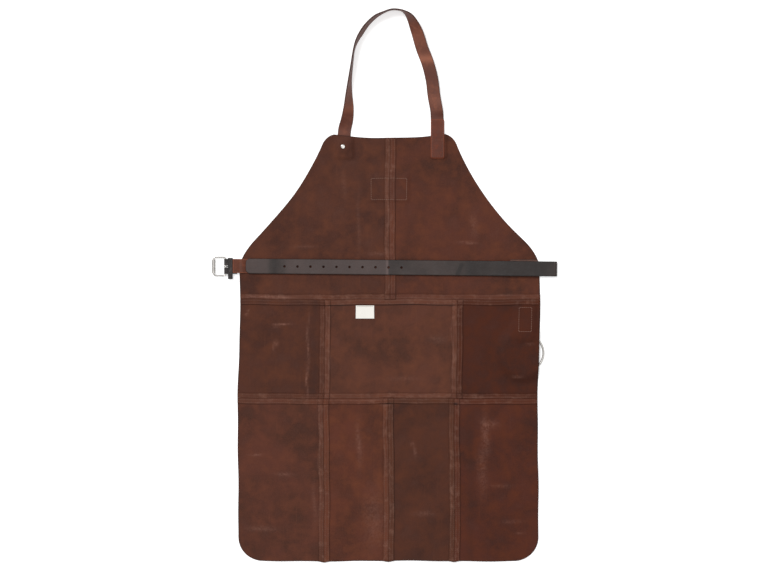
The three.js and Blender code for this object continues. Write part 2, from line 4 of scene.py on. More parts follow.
import bpy
import numpy as np
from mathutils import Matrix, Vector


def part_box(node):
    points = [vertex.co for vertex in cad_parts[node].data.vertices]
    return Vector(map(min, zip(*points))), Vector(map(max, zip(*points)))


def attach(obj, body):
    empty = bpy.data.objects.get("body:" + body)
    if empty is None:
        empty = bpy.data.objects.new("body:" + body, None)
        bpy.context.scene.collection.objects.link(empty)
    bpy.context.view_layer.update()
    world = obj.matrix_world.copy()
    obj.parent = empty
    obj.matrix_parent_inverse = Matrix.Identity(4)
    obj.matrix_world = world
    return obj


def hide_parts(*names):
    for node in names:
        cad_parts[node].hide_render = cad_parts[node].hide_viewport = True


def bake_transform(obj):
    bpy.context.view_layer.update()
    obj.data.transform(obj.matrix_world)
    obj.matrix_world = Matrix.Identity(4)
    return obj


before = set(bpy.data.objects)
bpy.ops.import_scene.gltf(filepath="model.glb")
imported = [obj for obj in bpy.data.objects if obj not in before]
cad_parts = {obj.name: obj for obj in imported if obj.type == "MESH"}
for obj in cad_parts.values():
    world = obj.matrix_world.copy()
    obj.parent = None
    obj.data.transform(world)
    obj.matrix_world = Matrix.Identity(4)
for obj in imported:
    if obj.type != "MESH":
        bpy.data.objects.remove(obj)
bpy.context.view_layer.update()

# Shapes are worked out in millimetres and put into their meshes in metres.
MM = 0.001


def box_mm(node):
    """A CAD node's lowest and highest corners at rest, in millimetres."""
    low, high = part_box(node)
    return np.array(low) / MM, np.array(high) / MM


# ---- Driving dimensions, in millimetres ----
LEATHER = 1.8
GAP = 0.3
STRAP = 2.4
ALLOWANCE = 10.5
HALF_WIDTH = 300.0
WAIST_Y = 99.0
HEM_Y = -424.0
HEM_RADIUS = 48.0
NECKLINE_Y = 430.0
NECKLINE_DIP = 8.4
NECKLINE_DIP_HALF = 115.0
BIB_INNER_LIMIT = 112.0
BIB_SEAM_X = 2.0
BIB_CORNER_RADIUS = 20.0
SIDE_START_Y = 414.0  # the bib's curved side starts here, below its round corner
SIDE_START_HALF = 133.0
SIDE_BLEND = 34.0
WAIST_SEAMS_X = (-129.0, 136.0)
SKIRT_SEAMS_X = (-130.0, -1.0, 131.0)

PATCH_LOW, PATCH_HIGH = box_mm("badge_patch")
RING_LOW, RING_HIGH = box_mm("towel_ring")
LOOP_LOW, LOOP_HIGH = box_mm("ring_loop")
STUD_LOW, STUD_HIGH = box_mm("stud_screw")
LABEL_LOW, LABEL_HIGH = box_mm("care_label")
LEFT_END_LOW, LEFT_END_HIGH = box_mm("neck_strap_end_left")
RIGHT_END_LOW, RIGHT_END_HIGH = box_mm("neck_strap_end_right")
TAB_LOW, TAB_HIGH = box_mm("neck_tab_on_bib")
_, STRAP_TAB_HIGH = box_mm("neck_tab_on_strap")
ANCHOR_LOW, ANCHOR_HIGH = box_mm("belt_anchor_tab")
KEEPER_LOW, KEEPER_HIGH = box_mm("belt_keeper")
ROLLER_LOW, ROLLER_HIGH = box_mm("buckle_roller")
SEWN_TAB_LOW, SEWN_TAB_HIGH = box_mm("buckle_tab_sewn")
FREE_TAB_LOW, _ = box_mm("buckle_tab_free")

RING_CENTRE = (RING_LOW + RING_HIGH) / 2
STUD_CENTRE = (STUD_LOW + STUD_HIGH) / 2
STRAP_RIGHT_X = (RIGHT_END_LOW[0] + RIGHT_END_HIGH[0]) / 2
NECK_HINGE_Y = 431.0
BELT_FOLD = np.array([332.0, 160.0, 5.25])
BELT_SLOPE = -0.0096
BELT_WIDTH = 30.0
BELT_TIP_X = -286.5
FIRST_HOLE_X = -209.0
HOLE_PITCH = 26.0
HOLE_COUNT = 10
HOLE_RADIUS = 2.5
BAR_X, BUCKLE_Y, BUCKLE_Z = -326.6, 165.1, 4.0
ROLLER_X = -350.5
FRAME_WIRE_RADIUS = 1.5
BUCKLE_BORE = 1.7  # radius of the bore in the roller and in the prong's eye
TAB_RISE_X = -299.0  # where the hide is lifted by the buckle's own strap under the tab
RING_RADIUS = 38.0
RING_WIRE_RADIUS = 2.0
LOOP_LYING_Y = 38.0  # the ring loop lies on the hide above this, and rises round the ring below it
BEND_Y, BEND_Z, BEND_RADIUS = 29.8, 4.0, 3.3  # the ring loop's bend round the ring
SEAM_ROWS = (2.6, 8.2)  # each seam's allowances are sewn down in two rows on either side of it
STITCH_PITCH = 4.2
STITCH_LENGTH = 3.1
THREAD = 0.75
LINING_THREAD = 1.2
EDGE_ROUNDING = 0.45  # a strap's edges are rounded to this share of its thickness
EDGE_SHADE = 0.9  # width of the dark line on a strap's cut edge
FAR = 50.0


# ---- Meshes ----
def new_mesh(name, points, faces, sharp=40.0):
    """A piece from points in millimetres and a list of faces, shaded smooth except at sharp edges."""
    mesh = bpy.data.meshes.new(name)
    mesh.from_pydata((np.asarray(points, float) * MM).tolist(), [], faces)
    mesh.shade_smooth()
    mesh.set_sharp_from_angle(angle=math.radians(sharp))
    piece = bpy.data.objects.new(name, mesh)
    bpy.context.scene.collection.objects.link(piece)
    return piece


def add_attribute(piece, name, values):
    """One number for each vertex, for a material to read."""
    layer = piece.data.attributes.new(name, "FLOAT", "POINT")
    layer.data.foreach_set("value", np.asarray(values, dtype=np.float32).ravel())


def add_uv(piece, values, round_trip):
    """A UV map, in metres, from one pair of millimetres for each vertex; a face that crosses from the end of
    the way round to its start is carried past the end, so nothing is squeezed into it."""
    mesh = piece.data
    corner = np.empty(len(mesh.loops), dtype=np.int32)
    mesh.loops.foreach_get("vertex_index", corner)
    start = np.empty(len(mesh.polygons), dtype=np.int32)
    size = np.empty(len(mesh.polygons), dtype=np.int32)
    mesh.polygons.foreach_get("loop_start", start)
    mesh.polygons.foreach_get("loop_total", size)
    pairs = np.asarray(values, dtype=np.float32)[corner]
    highest = np.repeat(np.maximum.reduceat(pairs[:, 1], start), size)
    pairs[:, 1] += np.where(highest - pairs[:, 1] > round_trip / 2, round_trip, 0)
    layer = mesh.uv_layers.new(name="surface")
    layer.data.foreach_set("uv", (pairs * MM).ravel())


def quads(index):
    """Faces of a grid of point numbers, counter-clockwise seen with rows upward and columns rightward."""
    return np.stack([index[:-1, :-1], index[:-1, 1:], index[1:, 1:], index[1:, :-1]], axis=-1).reshape(-1, 4)


def closed_sheet(name, top, bottom, sharp=40.0):
    """A sheet with thickness: two grids of points, rows by columns, joined by a rim all round."""
    rows, columns = top.shape[:2]
    index = np.arange(rows * columns).reshape(rows, columns)
    shift = rows * columns
    rim = np.concatenate([index[0, :-1], index[:-1, -1], index[-1, :0:-1], index[:0:-1, 0]])
    after = np.roll(rim, -1)
    faces = np.concatenate([
        quads(index),
        quads(index)[:, ::-1] + shift,
        np.stack([rim + shift, after + shift, after, rim], axis=-1),
    ])
    points = np.concatenate([top.reshape(-1, 3), bottom.reshape(-1, 3)])
    return new_mesh(name, points, faces.tolist(), sharp)


def skin(name, rings, closed, sharp=40.0):
    """A tube of rings of points: round on itself, or closed with a cap at each end."""
    count, size = rings.shape[:2]
    index = np.arange(count * size).reshape(count, size)
    index = np.concatenate([index, index[:, :1]], axis=1)
    if closed:
        index = np.concatenate([index, index[:1]], axis=0)
    faces = quads(index)[:, ::-1].tolist()
    if not closed:
        faces += [list(range(size)), list(range(count * size - 1, (count - 1) * size - 1, -1))]
    return new_mesh(name, rings.reshape(-1, 3), faces, sharp)


def unit(vectors):
    """Each vector divided by its own length."""
    return vectors / np.linalg.norm(vectors, axis=-1, keepdims=True)


def run_along(points):
    """Distance of each point of a line from its start."""
    steps = np.linalg.norm(np.diff(points, axis=0), axis=-1)
    return np.concatenate([[0.0], np.cumsum(steps)])


def even_line(points, step, ends=0.0):
    """A line through the points, cut again into even steps, with extra points near ends that are rounded
    off."""
    points = np.asarray(points, float)
    along = run_along(points)
    total = along[-1]
    marks = np.linspace(0, total, max(int(round(total / step)), 2) + 1)
    if ends:
        turn = ends * (1 - np.cos(np.linspace(0, math.pi / 2, 7)))
        marks = np.concatenate([turn, marks[(marks > ends) & (marks < total - ends)], total - turn[::-1]])
    return np.stack([np.interp(marks, along, points[:, k]) for k in range(points.shape[1])], axis=-1)


def curve_through(points, count):
    """A smooth line through points: between each two, the cubic whose slopes come from their neighbours."""
    points = np.asarray(points, float)
    before = np.vstack([2 * points[0] - points[1], points[:-1]])
    after = np.vstack([points[1:], 2 * points[-1] - points[-2]])
    slope = (after - before) / 2
    t = np.linspace(0, 1, count, endpoint=False)[:, None, None]
    a, b, m, n = points[:-1], points[1:], slope[:-1], slope[1:]
    blend = ((2 * t ** 3 - 3 * t ** 2 + 1) * a + (t ** 3 - 2 * t ** 2 + t) * m
             + (3 * t ** 2 - 2 * t ** 3) * b + (t ** 3 - t ** 2) * n)
    return np.vstack([blend.transpose(1, 0, 2).reshape(-1, points.shape[1]), points[-1:]])


def section(half, thickness, flat_points):
    """A strap's outline across it: flat top and bottom, and a half-round edge at each side, a little
    flattened. half is its half width at each place along it, so the outline is one grid: places by
    points."""
    radius = thickness * EDGE_ROUNDING
    turn = np.radians(np.linspace(-90, 90, 7))
    edge = np.stack([np.cos(turn) - 1, np.sin(turn) / (2 * EDGE_ROUNDING)], axis=-1) * radius
    across = np.linspace(1, -1, flat_points + 2)[1:-1]
    ones = np.ones(flat_points)
    unit_half = np.concatenate([np.ones(7), across, -np.ones(7), -across])
    inset = np.concatenate([edge[:, 0], 0 * across, -edge[::-1, 0], 0 * across])
    up = np.concatenate([edge[:, 1], ones * thickness / 2, edge[::-1, 1], -ones * thickness / 2])
    a = np.asarray(half, float)[:, None] * unit_half + inset
    return a, np.broadcast_to(up, a.shape)


def strap(name, middle, width, thickness, material, face=None, across=None, lift=None, round_start=0.0,
          round_end=0.0, tone=None, closed=False, flat_points=7, joined=""):
    """A strap swept along its middle line. face is the way its upper side looks, or across the way its width
    lies; each ring is the section laid across the line, drawn in at rounded ends, and raised by lift(x, y).
    tone(x, y) says where it is painted lighter, up to 1, or darker, down to -1: mostly painted light and
    shade of its bends and creases. joined names an end, start or end, that runs on into another piece, and so
    has no dark cut edge."""
    middle = np.asarray(middle, float)
    along = run_along(middle)
    if closed:
        ahead = unit(np.roll(middle, -1, axis=0) - np.roll(middle, 1, axis=0))
    else:
        ahead = unit(np.gradient(middle, axis=0))
    if across is None:
        side = unit(np.cross(ahead, np.broadcast_to(np.asarray(face, float), middle.shape)))
    else:
        side = np.broadcast_to(np.asarray(across, float), middle.shape)
    face = np.cross(side, ahead)
    half = np.broadcast_to(np.asarray(width, float) / 2, along.shape).copy()
    if round_start:
        half -= corner_inset(along, round_start)
    if round_end:
        half -= corner_inset(along[-1] - along, round_end)
    a, b = section(half, thickness, flat_points)
    rings = middle[:, None] + a[..., None] * side[:, None] + b[..., None] * face[:, None]
    if lift is not None:
        rings[..., 2] += lift(rings[..., 0], rings[..., 1])
    piece = skin(name, rings, closed)
    around = run_along(np.stack([a[len(a) // 2], b[len(b) // 2]], axis=-1))
    trip = around[-1] + np.hypot(a[0, 0] - a[0, -1], b[0, 0] - b[0, -1])
    add_uv(piece, np.stack(np.broadcast_arrays(along[:, None], around), axis=-1).reshape(-1, 2), trip)
    to_side = half[:, None] - np.abs(a)
    to_start = FAR if closed or joined == "start" else along
    to_end = FAR if closed or joined == "end" else along[-1] - along
    to_either = np.broadcast_to(np.minimum(to_start, to_end), along.shape)[:, None]
    add_attribute(piece, "edge", line_at(np.minimum(to_side, to_either), EDGE_SHADE))
    add_attribute(piece, "tone", np.zeros(a.shape) if tone is None else tone(rings[..., 0], rings[..., 1]))
    piece.data.materials.append(material)
    return piece


def stitch_line(points, height=None):
    """Places of stitches along a line of (x, y) or (x, y, z) points, with the way each one runs."""
    line = even_line(points, STITCH_PITCH)
    centre = (line[:-1] + line[1:]) / 2
    way = unit(np.diff(line, axis=0))
    if height is not None:
        slope = [height(*(end.T)) for end in (centre - way, centre + way)]
        centre = np.column_stack([centre, height(*centre.T)])
        way = unit(np.column_stack([way, (slope[1] - slope[0]) / 2]))
    return centre, way


def stitches(name, lines, up=(0.0, 0.0, 1.0), thread=THREAD, material=None):
    """Thread stitches, each a short bent spindle: five-sided rings at stations along it, which narrow and
    sink into the leather towards its ends. up is the way out of the leather."""
    centre = np.concatenate([line[0] for line in lines])
    way = np.concatenate([line[1] for line in lines])
    side = unit(np.cross(np.asarray(up, float), way))
    face = np.cross(way, side)
    station = np.array([-0.5, -0.38, 0.0, 0.38, 0.5]) * STITCH_LENGTH
    radius = np.array([0.12, 0.8, 1.0, 0.8, 0.12]) * thread / 2
    sink = np.array([-0.5, -0.12, 0.0, -0.12, -0.5]) * thread
    turn = np.arange(5) * math.tau / 5
    points = (centre[:, None, None]
              + way[:, None, None] * station[None, :, None, None]
              + side[:, None, None] * (radius[:, None] * np.cos(turn))[None, ..., None]
              + face[:, None, None] * (radius[:, None] * np.sin(turn) + sink[:, None] + 0.1)[None, ..., None])
    index = np.arange(len(centre) * 25).reshape(len(centre), 5, 5)
    wrapped = np.concatenate([index, index[..., :1]], axis=2)
    sides = np.stack([wrapped[:, :-1, :-1], wrapped[:, :-1, 1:], wrapped[:, 1:, 1:], wrapped[:, 1:, :-1]],
                     axis=-1)
    faces = sides.reshape(-1, 4).tolist() + index[:, 0, ::-1].tolist() + index[:, 4].tolist()
    piece = new_mesh(name, points.reshape(-1, 3), faces, 80.0)
    piece.data.materials.append(material or THREAD_MATERIAL)
    return piece


def cut_away(piece, cutters):
    """Holes: each cutter's shape is taken out of the piece, and the cutters are thrown away."""
    for cutter in cutters:
        step = piece.modifiers.new("hole", "BOOLEAN")
        step.object = cutter
        step.solver = "EXACT"
    graph = bpy.context.evaluated_depsgraph_get()
    holed = bpy.data.meshes.new_from_object(piece.evaluated_get(graph))
    piece.modifiers.clear()
    piece.data = holed
    holed.set_sharp_from_angle(angle=math.radians(40))
    for cutter in cutters:
        bpy.data.objects.remove(cutter)


def upright_prism(outline, low, high):
    """A cutter: a flat outline of (x, y) points, counter-clockwise, drawn up from low to high."""
    outline = np.asarray(outline, float)
    rings = np.stack([np.column_stack([outline, np.full(len(outline), z)]) for z in (low, high)])
    return skin("cutter", rings[:, ::-1], False)


def smooth(value):
    """0 below 0, 1 above 1 and an S-curve between."""
    s = np.clip(value, 0.0, 1.0)
    return s * s * (3 - 2 * s)


def line_at(distance, width):
    """A bell curve: 1 on a line, and nothing a few widths away from it."""
    return np.exp(-(distance / width) ** 2)


# ---- How the leather lies ----
def bump(distance, margin, run, height):
    """Full height up to margin from a shape's edge, then a smooth fall to nothing over run."""
    return height * smooth(1 - (distance - margin) / run)


def outside(x, y, low, high):
    """Distance outside a rectangle, 0 inside it."""
    dx = np.maximum(np.maximum(low[0] - x, x - high[0]), 0)
    dy = np.maximum(np.maximum(low[1] - y, y - high[1]), 0)
    return np.hypot(dx, dy)


def stud_lift(x, y, spare=0.0):
    """How far the strap's end is lifted by the stud's cap under it."""
    return bump(np.hypot(x - STUD_CENTRE[0], y - STUD_CENTRE[1]), 6 + spare, 8 + spare, 1.8)


def panel_lift(x, y):
    """Height of the panels' underside over the table: the smooth greatest of a bump over each piece below."""
    past_neckline = np.array([0, 9, 0])
    ring_x, ring_y = RING_CENTRE[:2]
    bend_half = 8
    bumps = [
        bump(outside(x, y, PATCH_LOW, PATCH_HIGH), 1.2, 5, 1.9),
        bump(outside(x, y, LEFT_END_LOW, LEFT_END_HIGH + past_neckline), 1.5, 7, STRAP + GAP),
        bump(outside(x, y, RIGHT_END_LOW, RIGHT_END_HIGH + past_neckline), 1.5, 7, STRAP + GAP),
        bump(outside(x, y, (LOOP_LOW[0], LOOP_LYING_Y), LOOP_HIGH), 2, 9, 3.1),
        bump(outside(x, y, (ring_x - bend_half, 26), (ring_x + bend_half, 40)), 3, 24, 8.3),
        bump(np.hypot(x - ring_x, y - ring_y) - RING_RADIUS - RING_WIRE_RADIUS, 2, 22, 6.0),
        bump(np.hypot(x - TAB_RISE_X, y - BUCKLE_Y), 4, 12, 2.65),
    ]
    return sum(b ** 4 for b in bumps) ** 0.25 + stud_lift(x, y, 3)


def calm(x, y):
    """0 where something is sewn to the hide or lies on it, and 1 well away from it."""
    belt_y = BELT_FOLD[1] + BELT_SLOPE * (x - BELT_FOLD[0])
    away = [
        np.abs(y - belt_y) - BELT_WIDTH / 2 - 4,
        outside(x, y, TAB_LOW, TAB_HIGH),
        outside(x, y, LABEL_LOW, LABEL_HIGH),
        outside(x, y, LEFT_END_LOW, LEFT_END_HIGH),
    ]
    return smooth((np.min(away, axis=0) - 3) / 30)


def waves(x, y):
    """Slow rises of a hide that doesn't lie quite flat: products of sines that run for hundreds of
    millimetres, with a smaller, quicker one on them, cut off where they would go below the table."""
    slow = np.sin(x / 71 + 0.6) * np.sin(y / 97 + 0.3) + 0.6 * np.sin((x + y) / 53 + 1.1)
    quick = 0.22 * np.sin(x / 23 - y / 61) * np.sin(y / 29 + 0.7)
    return 0.7 * np.maximum(slow + quick + 0.6, 0) * calm(x, y)


def wander(x, y):
    """A hand-cut, hand-sewn panel's sideways strays: the skirt hangs a little to the left of the waist at its
    sides, every edge wavers, and the hem bulges where a seam reaches it."""
    dx = 0.8 * np.sin(y / 61 + 0.5) + 0.45 * np.sin(y / 19 + x / 90)
    dx += (1.4 - 3.4 * smooth((70 - y) / 170)) * np.abs(x / HALF_WIDTH) ** 3
    dy = 0.7 * np.sin(x / 53 + 1.0) + 0.45 * np.sin(x / 17 - y / 80)
    for seam in SKIRT_SEAMS_X:
        dy = dy - 2.0 * line_at(x - seam, 7) * smooth((HEM_Y + 30 - y) / 25)
    return x + dx, y + dy


def corner_inset(distance, radius):
    """How far a round corner pulls the side in, at a distance from the panel's end."""
    reach = np.clip(radius - distance, 0, radius)
    return radius - np.sqrt(radius * radius - reach * reach)


def bib_half_width(y):
    """The bib's side: a parabola that meets the waist's straight side in a round blend."""
    drop = np.maximum(SIDE_START_Y - y, SIDE_START_Y - NECKLINE_Y)
    parabola = SIDE_START_HALF + 0.382 * drop + 0.001575 * drop * drop
    overlap = np.maximum(SIDE_BLEND - np.abs(parabola - HALF_WIDTH), 0) / SIDE_BLEND
    side = np.minimum(parabola, HALF_WIDTH) - overlap * overlap * SIDE_BLEND / 4
    return side - corner_inset(NECKLINE_Y - y, BIB_CORNER_RADIUS)


def place_on_bib(u, v):
    """Inner columns keep their x, outer ones spread to the side; the top rows follow the neckline."""
    reach = np.abs(u)
    outer = (reach - BIB_INNER_LIMIT) / (HALF_WIDTH - BIB_INNER_LIMIT)
    spread = BIB_INNER_LIMIT + outer * (bib_half_width(v) - BIB_INNER_LIMIT)
    x = np.where(reach <= BIB_INNER_LIMIT, u, np.sign(u) * spread)
    dip = NECKLINE_DIP * np.maximum(1 - (x / NECKLINE_DIP_HALF) ** 2, 0)
    rise = np.clip((v - WAIST_Y) / (NECKLINE_Y - WAIST_Y), 0, 1)
    return x, v - dip * rise ** 4


def place_flat(u, v):
    """A panel with straight sides lies where its grid is drawn."""
    return u, v


def place_on_skirt(u, v):
    """Columns near the outer side are drawn in round the hem's corners."""
    side = HALF_WIDTH - corner_inset(v - HEM_Y, HEM_RADIUS)
    drawn_width = 90
    inner = HALF_WIDTH - drawn_width
    reach = np.abs(u)
    drawn = inner + (reach - inner) * (side - inner) / drawn_width
    return np.where(reach > inner, np.sign(u) * drawn, u), v


FINE_STEP = 0.8
COARSE_STEP = 3.2
CUT_EDGE_STEPS = (0.0, 0.5, 1.4)


def grid_line(start, end, fine_start, fine_end):
    """Grid places from start to end: close together beside a seam and at a cut edge, wider apart between."""
    length = abs(end - start)
    reach = ALLOWANCE + 3.5
    first = np.arange(0, reach, FINE_STEP) if fine_start else np.array(CUT_EDGE_STEPS)
    last = np.arange(0, reach, FINE_STEP) if fine_end else np.array(CUT_EDGE_STEPS)
    low, high = first[-1], length - last[-1]
    middle = np.linspace(low, high, max(int(round((high - low) / COARSE_STEP)), 2) + 1)[1:-1]
    steps = np.concatenate([first, middle, (length - last)[::-1]])
    return start + np.sign(end - start) * steps


def corner_line(distances, end, radius, count):
    """Grid rows that close in on an end with a round corner, in place of the plain ones there."""
    kept = distances[np.abs(distances - end) > radius]
    turn = radius * (1 - np.cos(np.linspace(0.02, math.pi / 2, count)))
    near = end + np.sign(kept.mean() - end) * np.concatenate([[0.0], turn])
    return np.sort(np.concatenate([kept, near]))


def allowance_profile(distance, along):
    """Height of a folded allowance over the panel, by the distance from its seam: a round groove at the seam,
    a flat pressed by its stitching, a slightly lifted cut edge, and then nothing."""
    groove = 0.25 + 0.75 * smooth(distance / 2.2)
    pressed = -0.22 * sum(line_at(distance - row, 0.9) for row in SEAM_ROWS)
    lift = 0.5 * smooth((distance - 7.5) / 3) * (0.5 + 0.5 * np.sin(along / 37 + 1.3))
    ends = 1 - smooth((distance - ALLOWANCE) / 0.45)
    return (1.55 * groove + pressed + lift) * ends


def seam_distance(value, seams):
    """Distance to the nearest of the panel's own seams."""
    return np.min([np.abs(value - seam) for seam in seams], axis=0)


# Light marks: rubbed wear, and long thin painted highlights on the seam ridges and the old fold's crease, on
# their sides towards the lamp.
SCUFFS_AND_HIGHLIGHTS = (  # x, y, reach in x, reach in y, strength
    (-216, 50, 15, 1.6, 0.7), (-226, 45, 7, 1.6, 0.5), (-226, 12, 4, 5, 0.5), (-231, 2, 1.6, 9, 0.35),
    (-162, 5, 1.5, 52, 0.6), (-164, -66, 1.3, 26, 0.7), (-287, 68, 4, 2, 0.6), (-284, 76, 2, 2, 0.5),
    (-210, -250, 16, 3, 0.3), (-150, -310, 3, 40, 0.25), (-60, -190, 5, 40, 0.3), (-30, -340, 20, 60, 0.22),
    (70, -330, 22, 5, 0.2), (52, -205, 2.5, 12, 0.35), (46, -190, 4, 3, 0.35), (204, -150, 16, 8, 0.28),
    (194, -170, 7, 38, 0.3), (186, -245, 9, 44, 0.22), (225, -273, 20, 3, 0.22), (262, -368, 9, 2, 0.25),
    (95, 20, 18, 8, 0.2), (-20, 190, 26, 4, 0.25),
    (-170, 205, 24, 3, 0.2), (150, 214, 14, 2, 0.35), (166, 212, 10, 1.6, 0.4), (170, 250, 8, 22, 0.2),
    (-60, 250, 3, 60, 0.18), (228, 109, 26, 1.6, 0.5), (-240, 104, 52, 2.6, 0.6), (60, 100, 90, 4, 0.2),
    (-2, 290, 3.0, 110, 0.35), (246, -345, 20, 3, 0.2), (-255, -360, 26, 5, 0.3), (-264, -212, 12, 2, 0.4),
    (30, -60, 30, 4, 0.15), (-90, 330, 5, 26, 0.15), (-60, -103, 70, 1.4, 0.35), (200, -96, 60, 1.6, 0.3),
    (-120, 10, 1.6, 70, 0.35), (126, 10, 1.4, 70, 0.4), (-139, -250, 1.6, 110, 0.3), (-9, -200, 1.6, 60, 0.3),
    (-4, -112, 12, 2, 0.3), (123, -280, 1.5, 110, 0.3), (258, -55, 12, 2, 0.35), (280, 10, 8, 2, 0.3),
)


def scuffs_and_highlights(x, y):
    """Light marks: soft ovals, each drawn out one way and bent a little; some are rubbed wear, and the long
    thin ones along the seams and the old fold are painted highlights.
    """
    total = np.zeros_like(x)
    for cx, cy, rx, ry, strength in SCUFFS_AND_HIGHLIGHTS:
        bend = 2.0 * np.sin((y - cy) / 17)
        total += strength * np.exp(-((x - cx + bend) / rx) ** 2 - ((y - cy) / ry) ** 2)
    return total


def seams_beside(v):
    """The upright seams that cross the row at v."""
    if v > WAIST_Y:
        return [BIB_SEAM_X]
    return WAIST_SEAMS_X if v > -WAIST_Y else SKIRT_SEAMS_X


def from_old_fold(x, y, fold_x):
    """Distance from the wavering line of an old fold in the left waist panel."""
    return x - fold_x + 2 * np.sin(y / 17)


def hide_top(u, v, x, y, seams_x, seams_y):
    """Height of the hide's upper side: what lies under it, the hide, its slow waves, its folded allowances
    and the crease of an old fold."""
    from_x = seam_distance(u, seams_x)
    from_y = seam_distance(v, seams_y)
    fold_x = allowance_profile(from_x, v)
    fold_y = allowance_profile(from_y, u)
    fold = fold_x + fold_y + 0.25 * fold_x * fold_y
    crease = 0.8 * line_at(from_old_fold(x, y, -161), 2.2) * smooth((60 - np.abs(y + 24)) / 20)
    return panel_lift(x, y) + waves(x, y) + LEATHER + fold + crease


# Dark spots of painted shade in the gaps where seams cross.
SEAM_GAP_SHADES = (  # x, y, reach in x, reach in y, strength
    (133.5, -109.5, 4.5, 2.8, 1.3), (-2, -110, 8.0, 1.8, 1.1), (0, 88.5, 4.0, 2.2, 0.9),
    (122, 87, 5.0, 2.0, 0.8), (-139, -110, 4.0, 1.6, 0.6), (-128, 87, 5.0, 1.6, 0.6),
)


def edges_and_painted_shade(u, v, x, y, seams_x, seams_y):
    """How dark the hide is: a dark rim on its cut edges, painted shade of their thickness; painted shade in
    each seam's groove; dark allowance edges, darker on their lower and right sides, where the extra is
    painted shade;
    painted shade beside the old fold's crease; a darker band beside the right skirt seam; a painted shadow
    under the band at the waist; and painted shade in the gaps where seams cross."""
    to_side = np.abs(HALF_WIDTH - np.abs(u))
    # Painted shade: a dark rim on the cut edges, where their thickness falls in shade.
    dark = line_at(np.min([to_side, np.abs(NECKLINE_Y - v), np.abs(v - HEM_Y)], axis=0), 1.3)
    # Painted shade in each seam's groove; the stronger dark line on the allowances' lower and right edges is
    # painted shade.
    for seam in seams_x:
        dark = np.maximum(dark, 0.3 * line_at(u - seam, 0.8))
        dark = np.maximum(dark, 0.2 * line_at(u - seam + ALLOWANCE + 0.3, 0.7))
        dark = np.maximum(dark, 0.38 * line_at(u - seam - ALLOWANCE - 0.5, 1.0))
    for seam in seams_y:
        dark = np.maximum(dark, 0.3 * line_at(v - seam, 0.8))
        dark = np.maximum(dark, 0.2 * line_at(v - seam - ALLOWANCE - 0.3, 0.7))
        uneven = 0.22 + 0.14 * np.sin(u / 41 + 2)
        dark = np.maximum(dark, uneven * line_at(v - seam + ALLOWANCE + 0.5, 1.0))
    # Painted shade beside the old fold's crease, and a darker band beside the right skirt seam.
    fold_shade = 0.32 * line_at(from_old_fold(x, y, -150), 8) * smooth((105 - np.abs(y - 5)) / 20)
    beside_seam = 0.3 * line_at(x - 163, 8) * smooth((-112 - y) / 20)
    # A painted shadow under the waist band's lower edge, and painted shade in the gaps where seams cross.
    shadow_under_band = 0.95 * line_at(y - 88.0, 1.3) * smooth((130 - np.abs(x - 3.5)) / 6)
    gaps = [strength * line_at(x - cx, rx) * line_at(y - cy, ry) for cx, cy, rx, ry, strength in SEAM_GAP_SHADES]
    return np.max([dark, fold_shade, beside_seam, shadow_under_band, *gaps], axis=0)


def panel(name, u, v, place, seams_x, seams_y, material):
    """One hide panel: its grid is placed, strays a little, and gets its height from hide_top. Its cut edges
    are a little rounded off, and it is drawn up from below into each seam."""
    u, v = np.meshgrid(u, v)
    x, y = place(u, v)
    from_x = seam_distance(u, seams_x)
    from_y = seam_distance(v, seams_y)
    groove = 1 - smooth(np.minimum(from_x, from_y) / 1.8)
    wx, wy = wander(x, y)
    top = np.stack([wx, wy, hide_top(u, v, x, y, seams_x, seams_y)], axis=-1)
    bottom = np.stack([wx, wy, panel_lift(x, y) + waves(x, y) + groove ** 2], axis=-1)
    cut_edge = (np.abs(u) > HALF_WIDTH - 0.01) | (v > NECKLINE_Y - 0.01) | (v < HEM_Y + 0.01)
    top[..., 2] -= np.where(cut_edge, 0.35, 0)
    bottom[..., 2] += np.where(cut_edge, 0.25, 0)
    piece = closed_sheet(name, top, bottom)
    on_fold = np.maximum(smooth((ALLOWANCE + 0.3 - from_x) / 0.5), smooth((ALLOWANCE + 0.3 - from_y) / 0.5))
    left_waist_band = (y < WAIST_Y) * (y > 80) * smooth((-125 - x) / 20)
    on_fold *= 1 - 0.8 * left_waist_band
    # The darkness is the dark cut edges plus painted shade and shadows, also laid on the underside; the light
    # marks are rubbed wear plus painted highlights.
    dark = edges_and_painted_shade(u, v, x, y, seams_x, seams_y)
    marks = scuffs_and_highlights(x, y)
    for attribute, values in (("fold", on_fold), ("edge", dark), ("scuff_and_highlight", marks)):
        under = dark if attribute == "edge" else np.zeros(dark.shape)
        add_attribute(piece, attribute, np.concatenate([values.ravel(), under.ravel()]))
    piece.data.materials.append(material)
    return piece


# ---- Materials ----
# Where a mix node that works on colours has its factor, its two colours and its result among its sockets.
FACTOR, UNDER, OVER, MIXED = 0, 6, 7, 2


def srgb(code):
    """A colour written as sRGB hex, turned to linear, with full alpha."""
    value = np.array([int(code[i:i + 2], 16) for i in (1, 3, 5)]) / 255
    linear = np.where(value <= 0.04045, value / 12.92, ((value + 0.055) / 1.055) ** 2.4)
    return (*linear.tolist(), 1.0)


def per_metre(size):
    """A pattern's scale, from the size of its marks in millimetres."""
    return 1 / (size * MM)


def set_inputs(node, inputs):
    """Each input, by name or number, gets its value, or a link from the socket given for it."""
    for key, value in inputs.items():
        if isinstance(value, bpy.types.NodeSocket):
            node.id_data.links.new(value, node.inputs[key])
        else:
            node.inputs[key].default_value = value


